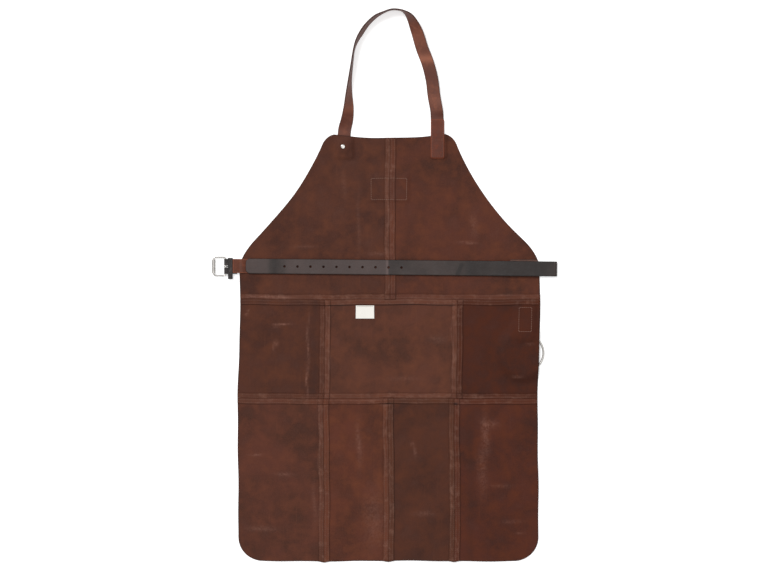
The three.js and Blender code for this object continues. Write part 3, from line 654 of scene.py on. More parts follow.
def new_material(name):
    """A material, its shader, and a function that adds a node with its settings and links."""
    material = bpy.data.materials.new(name)
    material.use_nodes = True
    tree = material.node_tree
    shader = next(n for n in tree.nodes if n.type == "BSDF_PRINCIPLED")

    def add(kind, inputs, output=0, **settings):
        """A new node's output, once its settings and inputs are in place."""
        node = tree.nodes.new(kind)
        for key, value in settings.items():
            setattr(node, key, value)
        set_inputs(node, inputs)
        return node.outputs[output]

    return material, shader, add


def lay_colours(add, base, layers):
    """Colours laid over a base. A layer is a pattern, the pattern's values where the layer starts to show and
    where it shows most, how much it covers there, and its colour."""
    colour = srgb(base)
    for pattern, start, full, cover, over in layers:
        shown = add("ShaderNodeMapRange", {"Value": pattern, "From Min": start, "From Max": full,
                                           "To Max": cover})
        colour = add("ShaderNodeMix", {FACTOR: shown, UNDER: colour, OVER: srgb(over)}, MIXED,
                     data_type="RGBA")
    return colour


def small_rises(add, patterns, strength, depth):
    """The surface's finest relief: the sum of the patterns, each times its share, over a depth in
    millimetres."""
    height = 0.0
    for pattern, share in patterns:
        height = add("ShaderNodeMath", {0: pattern, 1: share, 2: height}, operation="MULTIPLY_ADD")
    return add("ShaderNodeBump", {"Height": height, "Strength": strength, "Distance": depth * MM})


# Pale nap for rubbed marks and for painted highlights on the seam ridges and the old fold.
SCUFFED_NAP_AND_HIGHLIGHT = "#8a6153"
WORN_FOLD = "#8f6a5b"
# Dark brown for the hides' cut edges and for the painted shade and shadows at seams, allowances and
# crossings.
CUT_EDGE_AND_SHADE = "#241410"


def nubuck_panel(name, body, light, dark, fold, offset):
    """Waxed nubuck, which is vegetable-tanned hide buffed to a short nap and rubbed with wax. So it is matt
    and hardly glints. The wax has moved in clouds 111 mm across and in patches of 29 mm, and thin scratches
    4 mm apart run on for 70 mm. Its nap and pebbles are finer than a millimetre, and are drawn at 2.4 and
    1.5 mm, to show. The folded allowances are worn pale in spots of 16 mm, where fibres of 4 mm lie open.
    Light marks are partly rubbed wear and partly painted highlights on the seam ridges and the old fold. A
    cut edge is dark, and the same dark brown paints shade and shadows in the seams, on the allowances' edges,
    under the waist band and where seams cross. offset takes each panel from another part of the hide."""
    material, shader, add = new_material(name)
    spot = add("ShaderNodeTexCoord", {}, "Object")
    at = add("ShaderNodeMapping", {"Vector": spot, "Location": (offset, 0.7 * offset, 0.0)})
    clouds, patches, worn, fibres, nap = (
        add("ShaderNodeTexNoise", {"Vector": at, "Scale": per_metre(size), "Detail": detail,
                                   "Roughness": roughness, "Distortion": distortion})
        for size, detail, roughness, distortion in (
            (111, 5.0, 0.6, 0.4), (29.4, 4.0, 0.6, 0.0), (16.1, 4.0, 0.7, 0.5), (4.35, 5.0, 0.75, 0.8),
            (2.38, 3.0, 0.7, 0.0))
    )
    pebbles = add("ShaderNodeTexVoronoi", {"Vector": at, "Scale": per_metre(1.54)}, "Distance")
    drawn_out = add("ShaderNodeMapping", {"Vector": at, "Rotation": (0.0, 0.0, 0.5 + offset),
                                          "Scale": (per_metre(3.85), per_metre(71.4), per_metre(16.7))})
    streaks = add("ShaderNodeTexNoise", {"Vector": drawn_out, "Scale": 1.0, "Detail": 2.0, "Roughness": 0.5,
                                         "Distortion": 0.6})
    scratches = add("ShaderNodeMapRange", {"Value": streaks, "From Min": 0.64, "From Max": 0.74})
    folded, scuffed_and_lit, edge = (
        add("ShaderNodeAttribute", {}, "Fac", attribute_name=word) for word in ("fold", "scuff_and_highlight", "edge")
    )
    spots, open_fibres, torn_fibres = (
        add("ShaderNodeMapRange", {"Value": pattern, "From Min": start, "From Max": full, "To Min": least,
                                   "To Max": most})
        for pattern, start, full, least, most in (
            (worn, 0.50, 0.74, 0.0, 0.38), (fibres, 0.36, 0.60, 0.2, 1.0), (fibres, 0.38, 0.62, 0.05, 1.0))
    )
    folded_spots = add("ShaderNodeMath", {0: folded, 1: spots}, operation="MULTIPLY")
    worn_fold = add("ShaderNodeMath", {0: folded_spots, 1: open_fibres}, operation="MULTIPLY")
    # Rubbed marks and painted highlights, broken up by the fibres.
    rubbed = add("ShaderNodeMath", {0: scuffed_and_lit, 1: torn_fibres}, operation="MULTIPLY")
    colour = lay_colours(add, dark, (
        (clouds, 0.38, 0.60, 1.0, body),
        (patches, 0.44, 0.74, 0.72, light),
        (nap, 0.35, 0.75, 0.34, light),
        (scratches, 0.0, 1.0, 0.22, light),
        (folded, 0.0, 1.0, 0.3, fold),
        (worn_fold, 0.0, 1.0, 1.0, WORN_FOLD),
        (rubbed, 0.0, 1.0, 1.0, SCUFFED_NAP_AND_HIGHLIGHT),
        # cut edges, and painted shade and shadows
        (edge, 0.0, 1.39, 1.0, CUT_EDGE_AND_SHADE),
    ))
    set_inputs(shader, {
        "Base Color": colour,
        "Roughness": add("ShaderNodeMapRange", {"Value": patches, "From Min": 0.3, "From Max": 0.75,
                                                "To Min": 0.62, "To Max": 0.86}),
        "Normal": small_rises(add, ((nap, 0.5), (pebbles, 0.35), (patches, 0.8), (scratches, -0.15)), 0.35,
                              1.2),
        "IOR": 1.46,
        "Specular IOR Level": 0.2,
        "Sheen Weight": 0.03,
        "Sheen Roughness": 0.5,
        "Sheen Tint": srgb("#b98f7d"),
    })
    return material


def strap_hide(name, body, light, dark, edge_colour, pebble=1.92, pebble_depth=0.4, gloss=0.55,
               wear_share=0.6):
    """Strap leather, rolled hard, with a grain pressed into it and a waxed top, so it is satin, with darker
    burnished edges, and lighter and darker marks that are painted light and shade of its bends and creases.
    pebble is the grain's size in millimetres; the wax has clouds of 45 mm, and it is worn in spots of 11 mm.
    It reads the strap's own surface map, in metres along the strap and across it."""
    material, shader, add = new_material(name)
    at = add("ShaderNodeTexCoord", {}, "UV")
    clouds, wear = (
        add("ShaderNodeTexNoise", {"Vector": at, "Scale": per_metre(size), "Detail": 4.0,
                                   "Roughness": roughness, "Distortion": distortion})
        for size, roughness, distortion in ((45.5, 0.6, 0.3), (11.1, 0.65, 0.0))
    )
    grain = add("ShaderNodeTexVoronoi", {"Vector": at, "Scale": per_metre(pebble)}, "Distance")
    tone, edge = (add("ShaderNodeAttribute", {}, "Fac", attribute_name=word) for word in ("tone", "edge"))
    colour = lay_colours(add, dark, (
        (clouds, 0.3, 0.7, 1.0, body),
        (wear, 0.5, 0.8, wear_share, light),
        # Painted light and shade: lighter and darker copies of the leather where the tone says so.
        (tone, 0.0, 1.0, 0.9, light),
        (tone, 0.0, -1.0, 0.9, dark),
        (edge, 0.0, 1.0, 0.85, edge_colour),
        (grain, 0.25, 0.0, 0.35, dark),
    ))
    set_inputs(shader, {
        "Base Color": colour,
        "Roughness": add("ShaderNodeMapRange", {"Value": wear, "From Min": 0.3, "From Max": 0.75,
                                                "To Min": gloss - 0.08, "To Max": gloss + 0.14}),
        "Normal": small_rises(add, ((grain, pebble_depth), (wear, 0.5)), 0.4, 1.0),
        "IOR": 1.5,
        "Specular IOR Level": 0.3,
    })
    return material


def nickel_plate():
    """Nickel-plated steel, polished: a bright warm grey that mirrors the room, dulled by handling in smears
    6 mm across, with a haze of 1 mm."""
    material, shader, add = new_material("nickel_plated_steel_polished")
    at = add("ShaderNodeTexCoord", {}, "Object")
    smear, haze = (
        add("ShaderNodeTexNoise", {"Vector": at, "Scale": per_metre(size), "Detail": detail,
                                   "Roughness": roughness})
        for size, detail, roughness in ((6.25, 4.0, 0.6), (1.11, 2.0, 0.5))
    )
    set_inputs(shader, {
        "Base Color": lay_colours(add, "#c4c1bd", [(smear, 0.35, 0.7, 1.0, "#a39f9a")]),
        "Roughness": add("ShaderNodeMapRange", {"Value": smear, "From Min": 0.3, "From Max": 0.75,
                                                "To Min": 0.16, "To Max": 0.34}),
        "Normal": small_rises(add, [(haze, 1.0)], 0.08, 0.3),
        "Metallic": 1.0,
    })
    return material


def waxed_thread(name, dark, light):
    """Waxed polyester thread, a shade lighter than the hide and dull; its two strands twist every 0.7 mm,
    which gives it light and dark flecks."""
    material, shader, add = new_material(name)
    at = add("ShaderNodeTexCoord", {}, "Object")
    twist = add("ShaderNodeTexNoise", {"Vector": at, "Scale": per_metre(0.667), "Detail": 2.0,
                                       "Roughness": 0.5})
    set_inputs(shader, {
        "Base Color": lay_colours(add, dark, [(twist, 0.35, 0.7, 1.0, light)]),
        "Roughness": 0.6,
        "IOR": 1.5,
    })
    return material


WEAVE_PITCH = 0.52  # real satin threads are finer; at this pitch they still show
BANDS_PER_UNIT = 20 / math.tau  # a wave pattern's bands in one unit of its coordinates, at scale 1


def label_tape():
    """Woven satin tape, white and blank, with a slight sheen; warp and weft cross in a fine check."""
    material, shader, add = new_material("woven_satin_label_tape")
    at = add("ShaderNodeTexCoord", {}, "Object")
    scale = per_metre(WEAVE_PITCH) / BANDS_PER_UNIT
    warp, weft = (
        add("ShaderNodeTexWave", {"Vector": at, "Scale": scale}, "Fac", wave_type="BANDS",
            bands_direction=way)
        for way in "XY"
    )
    weave = add("ShaderNodeMath", {0: warp, 1: weft}, operation="MULTIPLY")
    set_inputs(shader, {
        "Base Color": lay_colours(add, "#d9d5cd", [(weave, 0.0, 1.0, 1.0, "#f2f0eb")]),
        "Roughness": 0.65,
        "Normal": small_rises(add, [(weave, 1.0)], 0.3, 0.2),
        "IOR": 1.5,
        "Sheen Weight": 0.2,
    })
    return material


STRAP_BROWN = strap_hide("strap_leather_waxed", "#5c3a2e", "#7b5344", "#44291f", "#26150f")
NECK_STRAP_BROWN = strap_hide("neck_strap_leather_waxed", "#683826", "#8b533d", "#4e2619", "#291209")
TAB_BROWN = strap_hide("tab_leather_oiled", "#5d260f", "#7a391e", "#471c0a", "#833e22")
BUCKLE_TAB_BROWN = strap_hide("tab_leather_worn_pale", "#63301b", "#82472f", "#4c2413", "#8c4e36")
BELT_GREY = strap_hide("belt_leather_dark_grey", "#352b28", "#554542", "#1d1614", "#100b09", pebble=2.08,
                       pebble_depth=0.35, gloss=0.5, wear_share=0.25)
CHAPE_BLACK = strap_hide("chape_leather_black_pebbled", "#342c2a", "#5f5655", "#181413", "#0f0c0b",
                         pebble=1.0, pebble_depth=1.3, gloss=0.45)
NICKEL = nickel_plate()
THREAD_MATERIAL = waxed_thread("waxed_thread_twisted", "#4c2f26", "#7d5848")
RUBBED_THREAD = waxed_thread("waxed_thread_rubbed_pale", "#684a3e", "#8c6a5b")
TAPE = label_tape()


# ---- Panels ----
def panel_pieces():
    """The nine hide panels, each from its own part of a hide, so each has its own shade. The plan gives a
    panel's two sides and whether each is sewn, its rows, the way it is placed, and its level seams."""
    looks = {
        "bib_panel_left": ("nubuck_bib_left", "#472519", "#5a3323", "#371a11", "#5f3626", 0.0),
        "bib_panel_right": ("nubuck_bib_right", "#4a2418", "#5d3322", "#381b11", "#613627", 1.3),
        "waist_panel_left": ("nubuck_waist_left", "#442216", "#563020", "#34180f", "#5a3324", 2.7),
        "waist_panel_centre": ("nubuck_waist_centre", "#4e291c", "#5e3626", "#3b1e13", "#653a2a", 3.9),
        "waist_panel_right": ("nubuck_waist_right", "#3b170a", "#4b2211", "#2e1107", "#512816", 5.1),
        "skirt_panel_outer_left": (
            "nubuck_skirt_outer_left", "#4c261a", "#5d3425", "#3a1d12", "#603828", 6.3
        ),
        "skirt_panel_inner_left": (
            "nubuck_skirt_inner_left", "#4f2517", "#613522", "#3d1c10", "#613625", 7.7
        ),
        "skirt_panel_inner_right": (
            "nubuck_skirt_inner_right", "#432114", "#512c1d", "#34180e", "#573221", 8.9
        ),
        "skirt_panel_outer_right": (
            "nubuck_skirt_outer_right", "#441c0f", "#542917", "#33140a", "#582c1a", 10.1
        ),
    }
    rows_bib = grid_line(WAIST_Y, NECKLINE_Y, True, False)
    rows_bib = corner_line(rows_bib, NECKLINE_Y, BIB_CORNER_RADIUS - 0.5, 12)
    rows_waist = grid_line(-WAIST_Y, WAIST_Y, True, True)
    rows_skirt = grid_line(-WAIST_Y, HEM_Y, True, False)[::-1]
    rows_corner = corner_line(rows_skirt, HEM_Y, HEM_RADIUS - 0.5, 20)
    left_s, mid_s, right_s = SKIRT_SEAMS_X
    left_w, right_w = WAIST_SEAMS_X
    edge = HALF_WIDTH
    bib_seams, waist_seams, skirt_seams = [WAIST_Y], [-WAIST_Y, WAIST_Y], [-WAIST_Y]
    plan = [
        ("bib_panel_left", (-edge, BIB_SEAM_X, False, True), rows_bib, place_on_bib, bib_seams),
        ("bib_panel_right", (BIB_SEAM_X, edge, True, False), rows_bib, place_on_bib, bib_seams),
        ("waist_panel_left", (-edge, left_w, False, True), rows_waist, place_flat, waist_seams),
        ("waist_panel_centre", (left_w, right_w, True, True), rows_waist, place_flat, waist_seams),
        ("waist_panel_right", (right_w, edge, True, False), rows_waist, place_flat, waist_seams),
        ("skirt_panel_outer_left", (-edge, left_s, False, True), rows_corner, place_on_skirt, skirt_seams),
        ("skirt_panel_inner_left", (left_s, mid_s, True, True), rows_skirt, place_flat, skirt_seams),
        ("skirt_panel_inner_right", (mid_s, right_s, True, True), rows_skirt, place_flat, skirt_seams),
        ("skirt_panel_outer_right", (right_s, edge, True, False), rows_corner, place_on_skirt, skirt_seams),
    ]
    for node, columns, rows, place, seams_y in plan:
        seams_x = [end for end, sewn in zip(columns[:2], columns[2:]) if sewn]
        hide = nubuck_panel(*looks[node])
        piece = panel(node.replace("panel", "hide"), grid_line(*columns), rows, place, seams_x, seams_y, hide)
        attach(piece, "root")
        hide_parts(node)
        low, high = box_mm(node)


panel_pieces()


def finish_piece(piece, body, *nodes):
    """A piece rides on a body and stands for the CAD nodes named."""
    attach(piece, body)
    if nodes:
        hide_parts(*nodes)
    return piece


# ---- Stitching on the hides ----
def hide_height(u, v):
    """Height of the hides' upper side at a place given before the bib's rows follow its neckline."""
    x, y = place_on_bib(u, v) if v.min() > WAIST_Y else (u, v)
    crossing = seams_beside(float(np.median(v)))
    return hide_top(u, v, x, y, crossing, (-WAIST_Y, WAIST_Y))


def sewn_line(start, end):
    """A stitch line on the hides between two places, given before the hides stray."""
    centre, way = stitch_line([start, end], hide_height)
    x, y = place_on_bib(*centre[:, :2].T) if min(start[1], end[1]) > WAIST_Y else centre[:, :2].T
    return np.column_stack([*wander(x, y), centre[:, 2]]), way


def seam_stitches():
    """Two rows on either side of every seam, which stop short of the cut edges and of the seams they meet."""
    lines = []
    from_edge, from_side, from_seam = 3, 4, 12
    side_x = HALF_WIDTH - from_side
    for offset in SEAM_ROWS:
        for beside in (-offset, offset):
            x = BIB_SEAM_X + beside
            lines.append(sewn_line((x, WAIST_Y + from_seam), (x, NECKLINE_Y - from_edge)))
            for level in (-WAIST_Y, WAIST_Y):
                lines.append(sewn_line((-side_x, level + beside), (side_x, level + beside)))
            for seam in WAIST_SEAMS_X:
                x = seam + beside
                lines.append(sewn_line((x, from_seam - WAIST_Y), (x, WAIST_Y - from_seam)))
            for seam in SKIRT_SEAMS_X:
                x = seam + beside
                lines.append(sewn_line((x, HEM_Y + from_edge), (x, -WAIST_Y - from_seam)))
    finish_piece(stitches("seam_stitching", lines), "root")


def four_sides(low, high, inset_x, inset_y):
    """The start and end of each side of a rectangle that lies inside another, going round from its low
    corner."""
    x0, y0 = low[0] + inset_x, low[1] + inset_y
    x1, y1 = high[0] - inset_x, high[1] - inset_y
    corners = [(x0, y0), (x1, y0), (x1, y1), (x0, y1), (x0, y0)]
    return list(zip(corners, corners[1:]))


def lining_stitches(name, low, high):
    """The lining side of a box of stitches: drawn in coarse rubbed thread, so that its outline shows."""
    lines = [sewn_line(start, end) for start, end in four_sides(low, high, 1.0, 1.0)]
    finish_piece(stitches(name, lines, thread=LINING_THREAD, material=RUBBED_THREAD), "root")


def box_stitches(name, low, high, height, up=(0.0, 0.0, 1.0)):
    """Four stitch lines inside a rectangle, at a height given by a function of place."""
    lines = [stitch_line(side, height) for side in four_sides(low, high, 2.2, 2.2)]
    finish_piece(stitches(name, lines, up), "root")


# ---- Pieces on the front: badge, ring loop, ring and stud ----
def badge_patch():
    """A plain patch with round corners, sewn on near its edge; its sewing shows on the lining side too."""
    low, high = PATCH_LOW, PATCH_HIGH
    y = (low[1] + high[1]) / 2
    middle = even_line([(low[0], y, 0.8), (high[0], y, 0.8)], 2.5, 3)
    piece = strap("badge_leather", middle, high[1] - low[1], 1.6, STRAP_BROWN, face=(0, 0, 1), round_start=3,
                  round_end=3, flat_points=15)
    finish_piece(piece, "root", "badge_patch")
    box_stitches("badge_front_stitching", low, high, lambda x, y: np.full_like(x, 0.2), (0, 0, -1))
    lining_stitches("badge_lining_stitching", low, high)


def ring_loop():
    """A strip folded round the ring: along the hide, round the wire and back over itself, narrow at the
    fold."""
    x = RING_CENTRE[0]
    left, top = LOOP_LOW[0], LOOP_HIGH[1]
    thickness, lower, upper = 1.4, 0.7, 2.25
    flat_from_y, front_from_y, lining_from_y = 44, 46, 34
    turn = np.radians(np.linspace(-90, -270, 15))
    bend = [(x, BEND_Y + BEND_RADIUS * math.cos(t), BEND_Z + BEND_RADIUS * math.sin(t)) for t in turn]
    middle = even_line([(x, top, lower), (x, flat_from_y, lower), *bend, (x, flat_from_y, upper),
                        (x, top, upper)], 1.2)
    half = 8 + 5.5 * smooth((middle[:, 1] - 37.5) / 7)
    piece = strap("ring_loop_leather", middle, 2 * half, thickness, STRAP_BROWN, across=(-1, 0, 0))
    finish_piece(piece, "root", "ring_loop")
    box_stitches("ring_loop_front_stitching", (left, front_from_y), LOOP_HIGH,
                 lambda x, y: np.full_like(x, 0.15), (0, 0, -1))
    lining_stitches("ring_loop_lining_stitching", (left, lining_from_y), LOOP_HIGH)


def wire_loop(name, centre_line, radius, material, sides=14):
    """Round wire along a closed line: circles standing across the line, all the way round."""
    ahead = unit(np.roll(centre_line, -1, axis=0) - np.roll(centre_line, 1, axis=0))
    normal = np.array([0.0, 0.0, 1.0])
    side = unit(np.cross(ahead, normal))
    face = np.cross(side, ahead)
    turn = np.arange(sides) * math.tau / sides
    radius = np.broadcast_to(np.asarray(radius, float), (len(centre_line),))[:, None, None]
    rings = (centre_line[:, None] + radius * np.cos(turn)[:, None] * side[:, None]
             + radius * np.sin(turn)[:, None] * face[:, None])
    piece = skin(name, rings, True)
    piece.data.materials.append(material)
    return piece


def towel_ring():
    """A ring of round wire, tilted a little where it hangs in its loop, with a swelling where it is
    welded."""
    turn = np.arange(160) * math.tau / 160
    tilt = (RING_HIGH[2] - RING_LOW[2] - 2 * RING_WIRE_RADIUS) / (2 * RING_RADIUS)
    y = RING_RADIUS * np.sin(turn)
    line = np.column_stack([RING_RADIUS * np.cos(turn), y, y * tilt]) + RING_CENTRE
    weld = 0.18 * line_at(np.degrees(turn) - 268, 2.5)
    finish_piece(wire_loop("ring_wire", line, RING_WIRE_RADIUS + weld, NICKEL), "ring", "towel_ring")


def turned(name, centre, profile, material, sides=40):
    """A turned part: a profile of (radius, height) spun round an upright line. It starts and ends on the
    line, at a point where triangles meet."""
    profile = np.asarray(profile, float)
    turn = np.arange(sides) * math.tau / sides
    radius, height = profile[1:-1, 0], profile[1:-1, 1]
    rings = np.stack([
        radius[:, None] * np.cos(turn),
        radius[:, None] * np.sin(turn),
        np.broadcast_to(height[:, None], (len(height), sides)),
    ], axis=-1)
    ends = [[0, 0, profile[0, 1]], [0, 0, profile[-1, 1]]]
    points = np.concatenate([rings.reshape(-1, 3), ends]) + np.array([*centre, 0])
    index = np.arange(rings.shape[0] * sides).reshape(-1, sides)
    index = np.concatenate([index, index[:, :1]], axis=1)
    first, last = index[0].tolist(), index[-1].tolist()
    bottom, top = len(points) - 2, len(points) - 1
    faces = quads(index).tolist()
    faces += [[bottom, b, a] for a, b in zip(first, first[1:])]
    faces += [[top, a, b] for a, b in zip(last, last[1:])]
    piece = new_mesh(name, points, faces, 35.0)
    piece.data.materials.append(material)
    return piece


def stud():
    """A two-part post: a low domed cap on the front, and on the lining a flat slotted screw head."""
    x, y = STUD_CENTRE[:2]
    cap = [(0, 0.05), (2.5, 0.06), (4.2, 0.25), (4.8, 0.55), (5.0, 0.95), (4.9, 1.3), (4.5, 1.45), (2.3, 1.5),
           (2.2, 1.55), (2.2, 1.75), (0, 1.75)]
    finish_piece(turned("stud_cap_metal", (x, y), cap, NICKEL), "root", "stud_cap")
    z = STUD_LOW[2]
    head = [(0, z), (3.9, z), (4.2, z + 0.2), (4.3, z + 0.6), (4.2, z + 1.05), (3.9, z + 1.3), (3.3, z + 1.4),
            (0, z + 1.4)]
    screw = turned("stud_screw_metal", (x, y), head, NICKEL)
    angle = math.radians(28)
    slot_along = 6 * np.array([math.cos(angle), math.sin(angle)])
    slot_beside = 0.25 * np.array([-math.sin(angle), math.cos(angle)])
    corners = [STUD_CENTRE[:2] + a * slot_along + b * slot_beside
               for a, b in ((-1, -1), (1, -1), (1, 1), (-1, 1))]
    cut_away(screw, [upright_prism(corners, z + 1.2, z + 3)])
    finish_piece(screw, "root", "stud_screw")


# ---- Neck strap and its tab ----
# Middle of the strap, and how far its lining face leans in from facing up, in degrees.
STRAP_ROUTE = [
    (97, 386, 0), (97, 410, 0), (97, 436, 0), (96.3, 462, 0), (95, 478, 12), (90, 506, 10), (86, 538, 12),
    (78, 570, 14), (66, 602, 16), (56, 634, 26), (43, 662, 58), (30, 674, 84), (18, 678, 90), (4, 678, 90),
    (-10, 673, 88), (-27, 664, 80), (-43, 649, 76), (-55, 632, 74), (-64, 616, 80), (-70, 598, 86),
    (-74, 570, 83), (-78, 538, 76), (-80, 510, 62), (-81, 480, 38), (-84, 458, 20), (-89, 436, 0),
    (-90, 410, 0), (-90, 386, 0),
]


def neck_strap():
    """One strap from under the bib, round the neck on its edge, and back under the bib to the stud. Its
    middle is as high as its lower edge needs to touch the table, at the lean it has there."""
    width = 26
    route = even_line(curve_through(STRAP_ROUTE, 12), 2.5)
    x, y, lean = route[:, 0], route[:, 1], np.radians(np.clip(route[:, 2], 0, 90))
    middle = np.column_stack([x, y, width / 2 * np.sin(lean) + STRAP / 2 * np.cos(lean)])
    ahead = unit(np.column_stack([np.gradient(x), np.gradient(y), 0 * x]))
    up = np.array([0.0, 0.0, 1.0])
    inward = np.cross(up, ahead)
    face = np.cos(lean)[:, None] * up + np.sin(lean)[:, None] * inward

    def bends(x, y):
        """Painted light and shade of the strap's bends on each arm of the loop: lighter where it bends over,
        darker where it bends in, and darker up the left arm.
        """
        right = 0.9 * line_at(y - 580, 9) - 0.95 * line_at(y - 546, 19) + 0.25 * line_at(y - 497, 12)
        right = right - 1.1 * line_at(y - 467, 8) + 0.2 * line_at(y - 625, 16) - 0.5 * line_at(y - 660, 12)
        left = -0.6 * line_at(y - 450, 12) + 0.3 * line_at(y - 480, 12) - 0.9 * smooth((y - 500) / 60)
        return np.where(x > 20, right, left)

    def over_stud(x, y):
        """The stud's cap lifts the strap's end inside the bib only."""
        return stud_lift(x, y) * (y < NECKLINE_Y - 5)

    # Its tone is painted light and shade of its bends.
    piece = strap("neck_strap_leather", middle, width, STRAP, NECK_STRAP_BROWN, face=face, lift=over_stud,
                  tone=bends, flat_points=9)
    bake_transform(piece)
    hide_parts("neck_strap", "neck_strap_end_left", "neck_strap_end_right")


def tab_lift(x, y):
    """Underside of the neck tab: on the hide, over its edge, then settled on the strap."""
    on_hide = panel_lift(x, np.minimum(y, NECK_HINGE_Y - 5)) + LEATHER + GAP / 2
    on_strap = STRAP + GAP
    return on_hide + (on_strap - on_hide) * smooth((y - NECK_HINGE_Y) / 16)


def neck_tab():
    """The tab that joins the strap to the bib: a plain sewn strip lying over both."""
    x = STRAP_RIGHT_X
    half = 13.5
    low_y, high_y = TAB_LOW[1], STRAP_TAB_HIGH[1]
    middle = even_line([(x, low_y, LEATHER / 2), (x, high_y, LEATHER / 2)], 2, 3)
    piece = strap("neck_tab_leather", middle, 2 * half, LEATHER, TAB_BROWN, face=(0, 0, 1), lift=tab_lift,
                  round_start=3, round_end=2, flat_points=11)
    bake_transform(piece)
    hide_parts("neck_tab_on_bib", "neck_tab_on_strap")
    inset, cross_y = 3, 418
    sides = four_sides((x - half, low_y), (x + half, high_y), inset, inset)
    cross_row = ((x - half + inset, cross_y), (x + half - inset, cross_y))
    lines = [stitch_line(side, lambda x, y: tab_lift(x, y) + LEATHER) for side in (*sides, cross_row)]
    sewn = stitches("neck_tab_stitching", lines)
    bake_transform(sewn)


# ---- Care label ----
def care_label():
    """A blank white tape, sewn along its top edge, its free corners curling up a little."""
    left, right = LABEL_LOW[0], LABEL_HIGH[0]
    centre_x = (left + right) / 2
    top, bottom, z = LABEL_HIGH[1], LABEL_LOW[1], LABEL_LOW[2]

    def curl(x, y):
        """The tape rises towards its free end, most at its corners, with a small ripple across it."""
        free = np.clip((top - y) / (top - bottom), 0, 1)
        to_corner = np.abs(x - left - 18) / 18
        return 0.9 * free ** 2 * (0.5 + 0.5 * to_corner) + 0.12 * np.sin(x / 3.1) * free

    middle = even_line([(centre_x, top, z + 0.25), (centre_x, bottom, z + 0.25)], 1.2)
    width = (right - left) * (1 - 0.012 * smooth((middle[:, 1] - bottom) / 20))
    piece = strap("label_tape", middle, width, 0.45, TAPE, face=(0, 0, 1), lift=curl, flat_points=21)
    finish_piece(piece, "label", "care_label")
    row_y, row_z = top - 1.8, z + 0.5
    sewn = stitches("label_stitching", [stitch_line([(left + 2, row_y, row_z), (right - 2, row_y, row_z)])])
    finish_piece(sewn, "label")


# ---- Belt ----
def on_belt(points):
    """Points drawn in the belt's own frame, x and y from the fold's centre, turned to the belt's slope."""
    points = np.asarray(points, float)
    x, y = points[..., 0], points[..., 1]
    c, s = math.cos(BELT_SLOPE), math.sin(BELT_SLOPE)
    turned_points = np.stack([c * x - s * y, s * x + c * y, points[..., 2]], axis=-1)
    return turned_points + np.array([BELT_FOLD[0], BELT_FOLD[1], 0])


BELT_ACROSS = np.array([-math.sin(BELT_SLOPE), math.cos(BELT_SLOPE), 0])
BELT_JOIN = -2.0  # where the folded end and the long run meet, from the fold's centre


def belt_level(x):
    """The height of the belt's middle, by the distance from its fold: low across the hides, up over its own
    folded end and over the buckle's tab, with a small rise at each of two seams that it crosses."""
    tab_end = -273 - BELT_FOLD[0]
    level = 4.2 + 2.7 * smooth((x + 132) / 45) + 0.9 * smooth((tab_end - x) / 12) + STRAP / 2
    return level + 0.35 * line_at(x + 334, 7) + 0.3 * line_at(x + 192, 6)


def belt_light_and_shade(x, y):
    """Painted light and shade along the belt: lighter to the left of a crease where it bends over a seam,
    with a painted highlight on the crease and painted shade on its dark side; darker to the right, with a
    dark slanting mark that is the painted shadow of a raised fold; and painted shade of a slight dip at the
    bend beside the first hole."""
    crease_x, slant_x, first_bend_x = -3.5, 138.5, -229
    tone = 0.1 * smooth((140 - x) / 12) + 0.35 * smooth((-1 - x) / 1.5)
    tone = tone - 1.3 * line_at(x - first_bend_x, 9) - 0.35 * line_at(x - first_bend_x - 17, 8)
    tone = tone + 0.85 * line_at(x - crease_x, 2.2) - 0.4 * line_at(x - 9, 10)
    tone = tone - 0.85 * smooth((x - 146) / 20) * smooth((BELT_FOLD[0] - x) / 30) + 0.3 * line_at(x - 205, 14)
    # A painted shadow beside a raised fold: a dark slanting notch.
    slant = (x - slant_x) - (y - 159) * 0.44
    notch = line_at(slant - 2.5, 3.2) * smooth((y - 145) / 6) * smooth((173 - y) / 6)
    return tone - 2.4 * notch - 0.4 * line_at(x - 164, 8)


def belt():
    """The long run, with a row of punched holes and a blunt tip, and the short end folded back under it."""
    reach = BELT_TIP_X - BELT_FOLD[0]
    run = even_line([(BELT_JOIN, 0), (reach, 0)], 2, 9)
    line = on_belt(np.column_stack([run, belt_level(run[:, 0])]))
    long_part = strap("belt_run", line, BELT_WIDTH, STRAP, BELT_GREY, across=BELT_ACROSS, round_end=9,
                      tone=belt_light_and_shade, flat_points=11, joined="start")
    turn = np.arange(24) * math.tau / 24
    circle = HOLE_RADIUS * np.column_stack([np.cos(turn), np.sin(turn)])
    holes = FIRST_HOLE_X - BELT_FOLD[0] + HOLE_PITCH * np.arange(HOLE_COUNT)
    centres = [on_belt((x, 0, 0))[:2] for x in holes]
    cut_away(long_part, [upright_prism(circle + centre, 1, 12) for centre in centres])
    finish_piece(long_part, "belt", "belt_strap")

    z, around, sewn_level = BELT_FOLD[2], 2.85, 5.4
    turn = np.radians(np.linspace(-90, 90, 19))
    bend = [(around * math.cos(t), 0, z + around * math.sin(t)) for t in turn]
    points = [(-70, 0, sewn_level), (-32, 0, sewn_level), (-14, 0, z - around), *bend,
              (BELT_JOIN, 0, z + around)]
    fold = strap("belt_fold", on_belt(even_line(points, 1.0)), BELT_WIDTH, STRAP, BELT_GREY,
                 across=BELT_ACROSS, tone=belt_light_and_shade, flat_points=11, joined="end")
    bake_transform(fold)
    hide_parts("belt_anchor_end")


